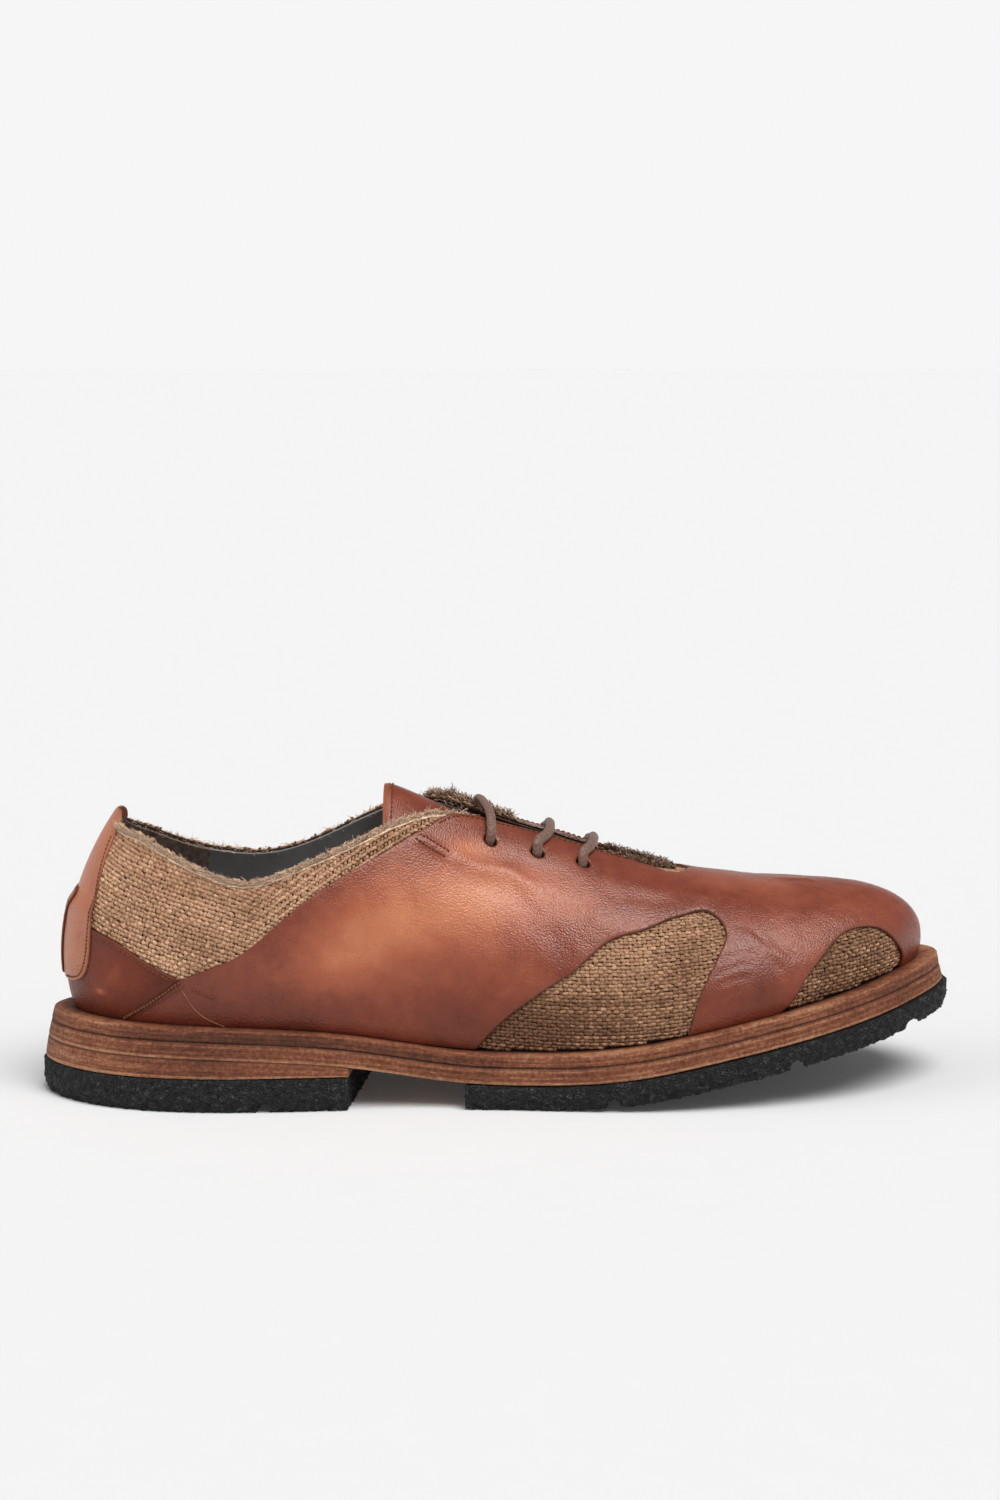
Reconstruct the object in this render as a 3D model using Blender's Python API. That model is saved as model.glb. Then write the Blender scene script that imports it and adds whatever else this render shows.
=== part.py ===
"""Right oxford shoe: burlap upper with leather overlays on a welted leather and crepe rubber sole."""
import math

import bmesh
import bpy
import numpy as np
from mathutils import Vector

# Sizes in millimetres: x runs from heel to toe, y from the lateral to the medial side, z up
MM = 0.001
GAP = 0.3
COLUMNS = 34
ROWS = 11
END_CROWDING = 0.4

# Widest outline of the sole seen from above (x, y), from heel to toe on each side
HEEL_BACK = (-151.0, -14.0)
TOE_TIP = (151.0, 8.0)
LATERAL_EDGE = (
    (-140.5, -35.5),
    (-113.0, -51.3),
    (-78.0, -53.8),
    (-32.0, -49.6),
    (12.0, -51.4),
    (48.0, -54.0),
    (85.0, -49.5),
    (118.0, -36.0),
    (141.0, -14.0),
)
MEDIAL_EDGE = (
    (-134.0, 12.5),
    (-102.0, 24.0),
    (-57.0, 26.5),
    (-12.0, 36.0),
    (33.0, 49.5),
    (75.0, 55.0),
    (117.0, 48.0),
    (142.0, 31.0),
)
EDGE_SAMPLES = 6000
EDGE_WRAP = 5

# Sole heights: underside of the leather (x, z) before the toe spring is added
LEATHER_UNDERSIDE = (
    (-160.0, 17.9),
    (-90.0, 17.0),
    (-48.0, 13.8),
    (-12.0, 8.7),
    (20.0, 8.3),
    (90.0, 8.7),
    (160.0, 9.1),
)
SPRING_START = 15.0
SPRING_STRAIGHT = 55.0
SPRING_SLOPE = 0.204
MIDSOLE_THICK = 5.2
WELT_THICK = 3.9
SOLE_THICK = MIDSOLE_THICK + GAP + WELT_THICK
HEEL_RUBBER_TOP = 11.0
EDGE_BEVEL = 0.7
RUBBER_ROUND = 4.0

# Inset of each sole edge from the widest outline
WELT_TOP_INSET = 4.0
WELT_LOW_INSET = 3.1
MIDSOLE_LOW_INSET = 1.9
LIFT_LOW_INSET = 0.9
RUBBER_TOP_INSET = 0.3
RUBBER_FLOOR_INSET = 1.4
WELT_SEAT = 4.0

# Heel breast and rear of the forefoot rubber: lateral corner (x, y) and slant in plan
HEEL_BREAST = (-48.4, -48.7)
FOREFOOT_REAR = (-11.2, -48.0)
BREAST_SLANT = math.radians(5.8)

# Cross grooves of the rubber (x at the lateral edge)
HEEL_GROOVES = (-75.0,)
FOREFOOT_GROOVES = (36.7, 95.3, 132.9)
GROOVE_WIDTH = 4.4
GROOVE_DEPTH = 3.2
GROOVE_REACH = 80.0
# Groove section as shares of its width and depth
GROOVE_PROFILE = (
    (-0.50, -0.6),
    (0.50, -0.6),
    (0.48, 0.45),
    (0.30, 0.90),
    (0.00, 1.00),
    (-0.30, 0.90),
    (-0.48, 0.45),
)

# Upper: inset of its foot from the widest outline (share of the way from heel to toe, inset)
FEATHER = (
    (0.00, 12.2),
    (0.12, 11.4),
    (0.30, 10.2),
    (0.75, 10.4),
    (0.90, 11.6),
    (1.00, 12.0),
)
# Top line of the upper: share, x, middle y, half opening, lateral z, medial z
TOP_LINE = (
    (0.00, -125.8, -14.5, 0.0, 91.2, 91.2),
    (0.05, -123.0, -14.5, 9.6, 88.9, 88.0),
    (0.10, -115.5, -14.8, 17.5, 86.8, 84.0),
    (0.15, -104.5, -15.0, 22.8, 81.2, 79.0),
    (0.20, -92.5, -15.0, 25.3, 75.6, 76.0),
    (0.25, -79.5, -15.0, 26.0, 73.0, 75.0),
    (0.30, -66.0, -14.0, 25.2, 77.2, 78.0),
    (0.35, -51.5, -12.5, 23.0, 83.2, 84.5),
    (0.40, -36.5, -10.5, 19.0, 89.6, 91.5),
    (0.45, -20.0, -7.5, 12.5, 92.6, 94.0),
    (0.50, -2.5, -4.5, 7.5, 87.6, 88.4),
    (0.55, 15.0, -2.0, 5.6, 82.2, 82.6),
    (0.60, 33.0, 0.0, 4.8, 76.3, 76.5),
    (0.65, 51.0, 1.6, 2.6, 71.2, 71.2),
    (0.68, 60.0, 2.4, 0.0, 69.4, 69.4),
    (0.70, 65.5, 2.8, 0.0, 68.5, 68.5),
    (0.75, 78.0, 3.8, 0.0, 66.6, 66.6),
    (0.80, 88.5, 4.6, 0.0, 65.6, 65.6),
    (0.85, 97.0, 5.3, 0.0, 65.1, 65.1),
    (0.90, 103.0, 5.8, 0.0, 64.8, 64.8),
    (0.95, 107.0, 6.1, 0.0, 64.6, 64.6),
    (1.00, 108.5, 6.2, 0.0, 64.5, 64.5),
)
# Bulge of the wall: share, handle out and up from the foot, handle out and down from the top line
WALL_SHAPE = (
    (0.00, 6.7, 20.0, 13.4, 20.0),
    (0.10, 6.5, 19.0, 12.0, 19.0),
    (0.20, 5.5, 15.0, 6.5, 15.0),
    (0.30, 5.0, 15.0, 5.0, 15.0),
    (0.40, 5.0, 20.0, 11.0, 18.0),
    (0.50, 6.0, 26.0, 18.0, 10.0),
    (0.60, 6.0, 25.0, 22.0, 4.0),
    (0.68, 6.0, 22.0, 24.0, 0.0),
    (0.75, 6.0, 20.0, 24.0, 0.0),
    (0.80, 6.0, 18.5, 23.0, 0.0),
    (0.90, 5.6, 16.0, 23.0, 0.0),
    (1.00, 5.0, 15.0, 24.0, 0.0),
)
MIRRORED_ROWS = 4
THROAT_END = 0.68
CREST_SLOPE = -0.06
EDGE_PULL = 20.0
WALL = 2.0
LEATHER = 1.2
OVERLAY_UNDER = GAP
OVERLAY_OVER = GAP + LEATHER

# Pattern lines on the upper: share of the way to the toe, share of the way up the wall
SLANT_SEAM = (
    (0.124, 0.000),
    (0.158, 0.129),
    (0.190, 0.304),
    (0.239, 0.479),
    (0.271, 0.621),
    (0.312, 0.762),
    (0.357, 0.838),
    (0.390, 0.862),
    (0.424, 0.896),
    (0.451, 0.950),
    (0.470, 0.985),
)
COUNTER_TOP = (
    (0.000, 0.490),
    (0.079, 0.471),
    (0.107, 0.450),
    (0.148, 0.379),
    (0.188, 0.304),
)
COUNTER_FRONT = (
    (0.156, 0.129),
    (0.122, 0.000),
)
BALL_WINDOW = (
    (0.465, 0.000),
    (0.483, 0.096),
    (0.506, 0.175),
    (0.540, 0.267),
    (0.563, 0.329),
    (0.598, 0.454),
    (0.632, 0.512),
    (0.653, 0.558),
    (0.675, 0.588),
    (0.691, 0.604),
    (0.700, 0.579),
    (0.706, 0.533),
    (0.708, 0.467),
    (0.700, 0.379),
    (0.691, 0.304),
    (0.682, 0.233),
    (0.673, 0.138),
    (0.665, 0.000),
)
TOE_WINDOW = (
    (0.758, 0.000),
    (0.771, 0.050),
    (0.783, 0.142),
    (0.802, 0.246),
    (0.824, 0.342),
    (0.848, 0.404),
    (0.870, 0.412),
    (0.888, 0.392),
    (0.904, 0.329),
    (0.917, 0.221),
    (0.929, 0.100),
    (0.931, 0.000),
)
# Heel strip: height and half width about the heel's middle line
STRIP_MIDDLE = -14.5
STRIP_EDGE = (
    (37.0, 13.0),
    (40.0, 16.5),
    (45.5, 19.2),
    (51.0, 20.0),
    (56.5, 19.9),
    (64.7, 18.7),
    (72.4, 16.8),
    (84.0, 13.0),
    (98.0, 10.0),
)
STRIP_STEP_LOW = 61.0
STRIP_STEP_HIGH = 67.0
STRIP_OVER_COUNTER = OVERLAY_OVER + GAP
# Pull tab on the heel strip: height and half width
TAB_EDGE = (
    (38.5, 3.5),
    (40.5, 5.2),
    (45.0, 5.8),
    (54.0, 5.8),
    (60.0, 6.8),
    (66.0, 8.8),
)
HEEL_FRONT = -100.0
CUT_REACH = 100.0
CUT_BELOW = 12.0
CUT_ABOVE = 30.0
MIDDLE_Y = -1.0

# Lace holes: share and height on the lateral side, and the same on the medial side
LACE_HOLES = (
    (0.494, 0.850, 0.484, 0.850),
    (0.538, 0.829, 0.547, 0.829),
    (0.580, 0.825, 0.589, 0.825),
)
HOLE_RADIUS = 2.6
HOLE_SIDES = 12
HOLE_REACH = 5.0
LACE_RADIUS = 1.5
LACE_SIDES = 8
LACE_LIFT = OVERLAY_OVER + LACE_RADIUS + GAP
LACE_CREST = (0.90, 0.95, 1.0)
# Lace path beside its hole: distance along the bar, height above the upper's face
LACE_TURN = (
    (0.0, 0.2),
    (0.2, 2.2),
    (1.5, LACE_LIFT - 0.2),
    (4.0, LACE_LIFT + 0.1),
)

# Tongue: x, crest y, crest z, half width, drop at the edge
TONGUE = (
    (-38.0, -10.5, 100.0, 19.0, 17.4),
    (-30.0, -9.5, 96.8, 18.5, 16.0),
    (-18.0, -6.8, 91.0, 18.5, 14.0),
    (0.0, -4.5, 83.9, 20.0, 15.0),
    (18.0, -1.5, 78.0, 21.0, 13.0),
    (36.0, 0.5, 71.6, 21.0, 10.5),
    (54.0, 2.0, 66.4, 20.0, 8.0),
    (66.0, 2.8, 64.2, 17.0, 6.0),
)
TONGUE_THICK = 2.0
TONGUE_STATIONS = 13
TONGUE_ACROSS = 10

INSOLE_THICK = 3.2
INSOLE_CLEAR = 0.5

MATERIALS = {
    "burlap": ((0.46, 0.32, 0.18), 0.9),
    "brown leather": ((0.28, 0.11, 0.045), 0.45),
    "dark leather": ((0.05, 0.045, 0.04), 0.6),
    "sole leather": ((0.20, 0.085, 0.035), 0.5),
    "black rubber": ((0.022, 0.021, 0.021), 0.8),
    "dark cord": ((0.05, 0.026, 0.016), 0.6),
}


def spline(knots, values):
    """Smooth curve through rows of values, as a function of the knot value."""
    knots = np.asarray(knots, float)
    values = np.asarray(values, float)
    count = len(knots)
    step = np.diff(knots)
    slope = np.diff(values, axis=0) / step[:, None]
    system = np.eye(count)
    right = np.zeros(values.shape)
    for row in range(1, count - 1):
        system[row, row - 1:row + 2] = step[row - 1], 2 * (step[row - 1] + step[row]), step[row]
        right[row] = 6 * (slope[row] - slope[row - 1])
    bend = np.linalg.solve(system, right)

    def at(where):
        where = np.asarray(where, float)
        low = np.clip(np.searchsorted(knots, where, side="right") - 1, 0, count - 2)
        width = step[low][..., None]
        near = (where - knots[low])[..., None]
        far = width - near
        cubic = (bend[low] * far ** 3 + bend[low + 1] * near ** 3) / (6 * width)
        start = (values[low] / width - bend[low] * width / 6) * far
        stop = (values[low + 1] / width - bend[low + 1] * width / 6) * near
        return cubic + start + stop

    return at


def two_sided(rows, odd_column=None):
    """Table over the share from heel to toe, carried smoothly over both ends to the other side."""
    rows = np.asarray(rows, float)
    before = rows[MIRRORED_ROWS:0:-1].copy()
    after = rows[-2:-2 - MIRRORED_ROWS:-1].copy()
    before[:, 0] *= -1
    after[:, 0] = 2 - after[:, 0]
    if odd_column is not None:
        before[:, odd_column] *= -1
        after[:, odd_column] *= -1
    table = np.vstack([before, rows, after])
    return spline(table[:, 0], table[:, 1:])


def measured_edge():
    """Points round the sole's widest outline, their run from the heel, and the run to the toe tip."""
    corners = [HEEL_BACK, *LATERAL_EDGE, TOE_TIP, *reversed(MEDIAL_EDGE)]
    count = len(corners)
    wrapped = np.array([corners[i % count] for i in range(-EDGE_WRAP, count + EDGE_WRAP + 1)])
    chord = np.concatenate(([0.0], np.cumsum(np.linalg.norm(np.diff(wrapped, axis=0), axis=1))))
    place = np.linspace(chord[EDGE_WRAP], chord[EDGE_WRAP + count], EDGE_SAMPLES + 1)
    points = spline(chord, wrapped)(place)
    run = np.concatenate(([0.0], np.cumsum(np.linalg.norm(np.diff(points, axis=0), axis=1))))
    toe = np.interp(chord[EDGE_WRAP + len(LATERAL_EDGE) + 1], place, run)
    points -= (points.min(axis=0) + points.max(axis=0)) / 2
    return points, run, toe


EDGE_POINTS, EDGE_RUN, TOE_RUN = measured_edge()
feather_inset = two_sided(FEATHER)
top_line = two_sided(TOP_LINE, odd_column=3)
wall_shape = two_sided(WALL_SHAPE)
underside_curve = spline([row[0] for row in LEATHER_UNDERSIDE], [row[1:] for row in LEATHER_UNDERSIDE])


def edge_point(ring):
    """Widest outline at a ring value: 0 at the heel, -1 and 1 at the toe, negative on the lateral side."""
    ring = (np.asarray(ring, float) + 1) % 2 - 1
    run = np.where(ring <= 0, -ring * TOE_RUN, EDGE_RUN[-1] - ring * (EDGE_RUN[-1] - TOE_RUN))
    return np.stack([np.interp(run, EDGE_RUN, EDGE_POINTS[:, axis]) for axis in (0, 1)], axis=-1)


def inset_edge(ring, inset):
    """Outline moved inwards, and its outward direction."""
    step = 0.002
    along = edge_point(ring - step) - edge_point(ring + step)
    along /= np.linalg.norm(along, axis=-1, keepdims=True)
    outward = np.stack([along[..., 1], -along[..., 0]], axis=-1)
    return edge_point(ring) - outward * np.asarray(inset)[..., None], outward


def spring(x):
    """Rise of the sole's floor line towards the toe."""
    radius = (SPRING_STRAIGHT - SPRING_START) / SPRING_SLOPE
    bent = np.clip(x - SPRING_START, 0, SPRING_STRAIGHT - SPRING_START)
    return bent ** 2 / (2 * radius) + np.maximum(x - SPRING_STRAIGHT, 0) * SPRING_SLOPE


def leather_underside(x):
    return underside_curve(x)[..., 0] + spring(x)


def sole_top(x):
    return leather_underside(x) + SOLE_THICK


def upper_point(ring, rise):
    """Outer face of the upper: a curved meridian from the foot of the wall to the top line."""
    ring, rise = np.broadcast_arrays((np.asarray(ring, float) + 1) % 2 - 1, np.asarray(rise, float))
    share = np.abs(ring)
    side = np.where(ring < 0, -1.0, 1.0)
    closed = share >= THROAT_END - 1e-9
    foot_plan, outward = inset_edge(ring, feather_inset(share)[..., 0])
    foot = np.concatenate([foot_plan, (sole_top(foot_plan[..., 0]) + GAP)[..., None]], axis=-1)
    x, middle, opening, lateral_z, medial_z = np.moveaxis(top_line(share), -1, 0)
    opening = np.where(closed, 0.0, np.maximum(opening, 0.0))
    top = np.stack([x, middle + side * opening, np.where(side < 0, lateral_z, medial_z)], axis=-1)
    foot_out, foot_up, top_out, top_down = np.moveaxis(wall_shape(share), -1, 0)[..., None]
    top_down = np.where(closed[..., None], 0.0, np.maximum(top_down, 0.0))
    spread = foot_plan - top[..., :2] + EDGE_PULL * outward
    spread /= np.linalg.norm(spread, axis=-1, keepdims=True)
    fall = np.where(closed, CREST_SLOPE * spread[..., 0], 0.0)
    level = np.zeros_like(share)
    up = np.array([0.0, 0.0, 1.0])
    low_handle = foot + np.concatenate([outward, level[..., None]], axis=-1) * foot_out + up * foot_up
    high_handle = top + np.concatenate([spread, fall[..., None]], axis=-1) * top_out - up * top_down
    rise = rise[..., None]
    rest = 1 - rise
    ends = foot * rest ** 3 + top * rise ** 3
    return ends + 3 * rise * rest * (low_handle * rest + high_handle * rise)


def upper_normal(ring, rise):
    """Outward direction of the upper's face, level at the foot and shared by both sides at the crest."""
    ring, rise = np.broadcast_arrays(np.asarray(ring, float), np.asarray(rise, float))
    step = 0.004
    inner_rise = np.clip(rise, step, 0.985)

    def raw(at_ring):
        around = upper_point(at_ring + step, inner_rise) - upper_point(at_ring - step, inner_rise)
        upward = upper_point(at_ring, inner_rise + step) - upper_point(at_ring, inner_rise - step)
        face = np.cross(upward, around)
        return face / np.linalg.norm(face, axis=-1, keepdims=True)

    normal = raw(ring)
    crest = (rise >= 1.0) & (np.abs(ring) >= THROAT_END - 1e-9)
    normal = np.where(crest[..., None], normal + raw(-ring), normal)
    normal[..., 2] = np.where(rise <= 0.0, 0.0, normal[..., 2])
    return normal / np.linalg.norm(normal, axis=-1, keepdims=True)


def column_shares():
    """Shares from heel to toe, closer together at both ends, one of them at the end of the throat."""
    even = np.linspace(0.0, 1.0, COLUMNS + 1)
    shares = even - END_CROWDING * np.sin(2 * math.pi * even) / (2 * math.pi)
    shares[np.abs(shares - THROAT_END).argmin()] = THROAT_END
    return shares


SHARES = column_shares()
RING = np.concatenate([-SHARES, SHARES[-2:0:-1]])


def make_material(name):
    color, roughness = MATERIALS[name]
    material = bpy.data.materials.get(name) or bpy.data.materials.new(name)
    material.use_nodes = True
    material.diffuse_color = (*color, 1.0)
    shader = material.node_tree.nodes["Principled BSDF"]
    shader.inputs["Base Color"].default_value = (*color, 1.0)
    shader.inputs["Roughness"].default_value = roughness
    return material


def make_object(name, points, faces, material):
    mesh = bpy.data.meshes.new(name)
    mesh.from_pydata([tuple(point) for point in np.asarray(points) * MM], [], faces)
    work = bmesh.new()
    work.from_mesh(mesh)
    bmesh.ops.recalc_face_normals(work, faces=work.faces)
    work.to_mesh(mesh)
    work.free()
    piece = bpy.data.objects.new(name, mesh)
    bpy.context.scene.collection.objects.link(piece)
    if material:
        mesh.materials.append(make_material(material))
    return piece


def apply_boolean(piece, cutter, operation):
    """Cut or trim a piece with a guide solid, then drop the guide."""
    cutter.hide_render = True
    cutter.display_type = "WIRE"
    modifier = piece.modifiers.new("cut", "BOOLEAN")
    modifier.object = cutter
    modifier.operation = operation
    modifier.solver = "EXACT"
    graph = bpy.context.evaluated_depsgraph_get()
    result = bpy.data.meshes.new_from_object(piece.evaluated_get(graph))
    piece.modifiers.clear()
    old = piece.data
    name = old.name
    slots = [slot for slot in old.materials if slot]
    piece.data = result
    bpy.data.meshes.remove(old)
    result.name = name
    result.materials.clear()
    for slot in slots:
        result.materials.append(slot)
    guide = cutter.data
    bpy.data.objects.remove(cutter)
    bpy.data.meshes.remove(guide)


def shell(name, under, over, material):
    """Closed wall between two forms of the upper, open at collar, throat and foot."""
    count = len(RING)
    rises = np.linspace(0.0, 1.0, ROWS + 1)
    ring, rise = np.meshgrid(RING, rises, indexing="ij")
    face = upper_point(ring, rise)
    normal = upper_normal(ring, rise)
    height = face[..., 2]
    inner = face + normal * np.broadcast_to(under(height), height.shape)[..., None]
    outer = face + normal * np.broadcast_to(over(height), height.shape)[..., None]
    index = np.arange(count * (ROWS + 1)).reshape(count, ROWS + 1)
    share = np.abs(RING)
    for column in range(COLUMNS + 1, count):
        if share[column] >= THROAT_END - 1e-9:
            index[column, ROWS] = index[count - column, ROWS]
    layer = count * (ROWS + 1)
    faces = []
    for column in range(count):
        following = (column + 1) % count
        for row in range(ROWS):
            low, low_next = int(index[column, row]), int(index[following, row])
            high, high_next = int(index[column, row + 1]), int(index[following, row + 1])
            for corners in ([low, low_next, high_next], [low, high_next, high]):
                faces.append(corners)
                faces.append([corner + layer for corner in reversed(corners)])
        rims = [0]
        if min(share[column], share[following]) < THROAT_END - 1e-9:
            rims.append(ROWS)
        for row in rims:
            here = int(index[column, row])
            there = int(index[following, row])
            faces.append([here, there, there + layer, here + layer])
    points = np.concatenate([inner.reshape(-1, 3), outer.reshape(-1, 3)])
    used = sorted({corner for quad in faces for corner in quad})
    renumber = {corner: place for place, corner in enumerate(used)}
    faces = [[renumber[corner] for corner in quad] for quad in faces]
    return make_object(name, points[used], faces, material)


def level(plan, height):
    """Outline of the sole at a height that follows x."""
    return np.column_stack([plan, np.broadcast_to(height(plan[:, 0]), len(plan))])


def sole_edge(inset):
    return inset_edge(RING, np.full(len(RING), inset))[0]


def feather_edge(inset):
    return inset_edge(RING, feather_inset(np.abs(RING))[:, 0] + inset)[0]


def loft(name, levels, material, hollow=False):
    """Solid through outlines from the bottom up, capped across from side to side, or a ring when hollow."""
    count = len(RING)
    layers = len(levels)
    points = np.concatenate(levels)
    faces = []
    for layer in range(layers if hollow else layers - 1):
        low = layer * count
        high = (layer + 1) % layers * count
        for column in range(count):
            following = (column + 1) % count
            faces.append([low + column, low + following, high + following, high + column])
    if not hollow:
        for base in (0, (layers - 1) * count):
            for column in range(COLUMNS):
                across = [column, column + 1, (count - column - 1) % count, (count - column) % count]
                faces.append([base + corner for corner in dict.fromkeys(across)])
    return make_object(name, points, faces, material)


def cut_across(piece, corner, ahead):
    """Cut the piece by an upright slanting plane, drop the part ahead of it or behind it, close the cut."""
    direction = Vector((math.cos(BREAST_SLANT), -math.sin(BREAST_SLANT), 0.0)) * ahead
    work = bmesh.new()
    work.from_mesh(piece.data)
    parts = work.verts[:] + work.edges[:] + work.faces[:]
    spot = Vector((corner[0] * MM, corner[1] * MM, 0.0))
    bmesh.ops.bisect_plane(work, geom=parts, plane_co=spot, plane_no=direction, clear_outer=True)
    rim = [edge for edge in work.edges if edge.is_boundary]
    bmesh.ops.holes_fill(work, edges=rim)
    bmesh.ops.recalc_face_normals(work, faces=work.faces)
    work.to_mesh(piece.data)
    work.free()


def prism(profile, start, end, to_space):
    """Guide solid from a flat profile, drawn from one depth to another."""
    points = [to_space(a, b, depth) for depth in (start, end) for a, b in profile]
    count = len(profile)
    faces = [list(range(count)), list(range(2 * count - 1, count - 1, -1))]
    for corner in range(count):
        following = (corner + 1) % count
        faces.append([corner, following, count + following, count + corner])
    return make_object("guide", points, faces, None)


def cut_groove(piece, x, bottom):
    """Rounded channel across the rubber, square to its floor line."""
    profile = [(width * GROOVE_WIDTH, depth * GROOVE_DEPTH) for width, depth in GROOVE_PROFILE]
    turn = math.atan(float(bottom(x + 0.5) - bottom(x - 0.5)))
    height = float(bottom(x))

    def to_space(along, up, y):
        forward = along * math.cos(turn) - up * math.sin(turn)
        rise = along * math.sin(turn) + up * math.cos(turn)
        shift = (y - HEEL_BREAST[1]) * math.tan(BREAST_SLANT)
        return (x + forward + shift, y, height + rise)

    apply_boolean(piece, prism(profile, -GROOVE_REACH, GROOVE_REACH, to_space), "DIFFERENCE")


def side_profile(lines, side):
    """Pattern line on one side of the overlay, as x and z."""
    ring = np.array([row[0] for row in lines]) * side
    rise = np.array([row[1] for row in lines])
    face = upper_point(ring, rise) + upper_normal(ring, rise) * OVERLAY_OVER
    return [(float(point[0]), float(point[2])) for point in face]


def side_prism(profile, side):
    """Guide across one side of the shoe, from its middle line outwards."""
    near, far = sorted((MIDDLE_Y, MIDDLE_Y + side * CUT_REACH))
    return prism(profile, near, far, lambda x, z, y: (x, y, z))


def window_profile(window, side):
    """Window outline with both ends carried straight down below the welt."""
    profile = side_profile(window, side)
    (first_x, first_z), (last_x, last_z) = profile[0], profile[-1]
    return [(first_x, first_z - CUT_BELOW), *profile, (last_x, last_z - CUT_BELOW)]


def behind_slant_seam(side):
    """Region behind and above the quarter seam."""
    seam = side_profile(SLANT_SEAM, side)
    rear = -2 * CUT_REACH
    top = seam[-1][1] + CUT_ABOVE
    return [(rear, 0.0), (seam[0][0], 0.0), *seam, (seam[-1][0], top), (rear, top)]


def outside_counter(side):
    """Region above and ahead of the heel counter."""
    edge = side_profile(COUNTER_TOP, side) + side_profile(COUNTER_FRONT, side)
    reach = 2 * CUT_REACH
    return [(-reach, edge[0][1]), *edge, (edge[-1][0], 0.0), (reach, 0.0), (reach, reach), (-reach, reach)]


def make_vamp():
    vamp = shell("vamp", lambda z: OVERLAY_UNDER, lambda z: OVERLAY_OVER, "brown leather")
    for side in (-1, 1):
        apply_boolean(vamp, side_prism(behind_slant_seam(side), side), "DIFFERENCE")
        for window in (BALL_WINDOW, TOE_WINDOW):
            apply_boolean(vamp, side_prism(window_profile(window, side), side), "DIFFERENCE")
    return vamp


def make_counter():
    counter = shell("counter", lambda z: OVERLAY_UNDER, lambda z: OVERLAY_OVER, "brown leather")
    for side in (-1, 1):
        apply_boolean(counter, side_prism(outside_counter(side), side), "DIFFERENCE")


def strip_step(height):
    """Height of the heel strip's underside over the upper: up and over the counter's top edge."""
    part = np.clip((STRIP_STEP_HIGH - height) / (STRIP_STEP_HIGH - STRIP_STEP_LOW), 0.0, 1.0)
    part = part * part * (3 - 2 * part)
    return OVERLAY_UNDER + (STRIP_OVER_COUNTER - OVERLAY_UNDER) * part


def tab_under(height):
    return strip_step(height) + LEATHER + GAP


def heel_guide(edge):
    """Guide through the back of the heel with the given half widths."""
    right = [(STRIP_MIDDLE + half, z) for z, half in edge]
    left = [(STRIP_MIDDLE - half, z) for z, half in reversed(edge)]
    return prism(right + left, -2 * CUT_REACH, HEEL_FRONT, lambda y, z, x: (x, y, z))


def make_heel_strip():
    strip = shell("heel_strip", strip_step, lambda z: strip_step(z) + LEATHER, "brown leather")
    apply_boolean(strip, heel_guide(STRIP_EDGE), "INTERSECT")
    tab = shell("heel_tab", tab_under, lambda z: tab_under(z) + LEATHER, "brown leather")
    apply_boolean(tab, heel_guide(TAB_EDGE), "INTERSECT")


def make_tongue():
    """Arched sheet under the facings, its top end standing above the collar."""
    curve = spline([row[0] for row in TONGUE], [row[1:] for row in TONGUE])
    stations = np.linspace(TONGUE[0][0], TONGUE[-1][0], TONGUE_STATIONS + 1)
    across = np.linspace(-1.0, 1.0, TONGUE_ACROSS + 1)
    x, place = np.meshgrid(stations, across, indexing="ij")
    middle, crest, half, drop = np.moveaxis(curve(x), -1, 0)
    sheet = np.stack([x, middle + half * place, crest - drop * place ** 2], axis=-1)
    along = np.gradient(sheet, axis=0)
    sideways = np.gradient(sheet, axis=1)
    normal = np.cross(along, sideways)
    normal /= np.linalg.norm(normal, axis=-1, keepdims=True)
    top = sheet + normal * TONGUE_THICK / 2
    bottom = sheet - normal * TONGUE_THICK / 2
    rows, columns = x.shape
    layer = rows * columns
    faces = []
    for i in range(rows - 1):
        for j in range(columns - 1):
            quad = [i * columns + j, (i + 1) * columns + j, (i + 1) * columns + j + 1, i * columns + j + 1]
            faces.append(quad)
            faces.append([corner + layer for corner in reversed(quad)])
    rim = [i * columns for i in range(rows)]
    rim += [(rows - 1) * columns + j for j in range(1, columns)]
    rim += [i * columns + columns - 1 for i in range(rows - 2, -1, -1)]
    rim += [j for j in range(columns - 2, 0, -1)]
    for here, there in zip(rim, rim[1:] + rim[:1]):
        faces.append([here, there, there + layer, here + layer])
    points = np.concatenate([top.reshape(-1, 3), bottom.reshape(-1, 3)])
    return make_object("tongue", points, faces, "brown leather")


def hole_frame(ring, rise):
    point = upper_point(np.array(ring), np.array(rise))
    return point, upper_normal(np.array(ring), np.array(rise))


def punch_holes(pieces):
    for lateral_share, lateral_rise, medial_share, medial_rise in LACE_HOLES:
        for ring, rise in ((-lateral_share, lateral_rise), (medial_share, medial_rise)):
            point, axis = hole_frame(ring, rise)
            turn = Vector((0.0, 0.0, 1.0)).rotation_difference(Vector(axis)).to_matrix()
            angles = [2 * math.pi * step / HOLE_SIDES for step in range(HOLE_SIDES)]
            circle = [(HOLE_RADIUS * math.cos(turned), HOLE_RADIUS * math.sin(turned)) for turned in angles]

            def to_space(a, b, depth, turn=turn, point=point):
                return tuple(np.array(turn @ Vector((a, b, depth))) + point)

            for piece in pieces:
                apply_boolean(piece, prism(circle, -HOLE_REACH, HOLE_REACH, to_space), "DIFFERENCE")


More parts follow.
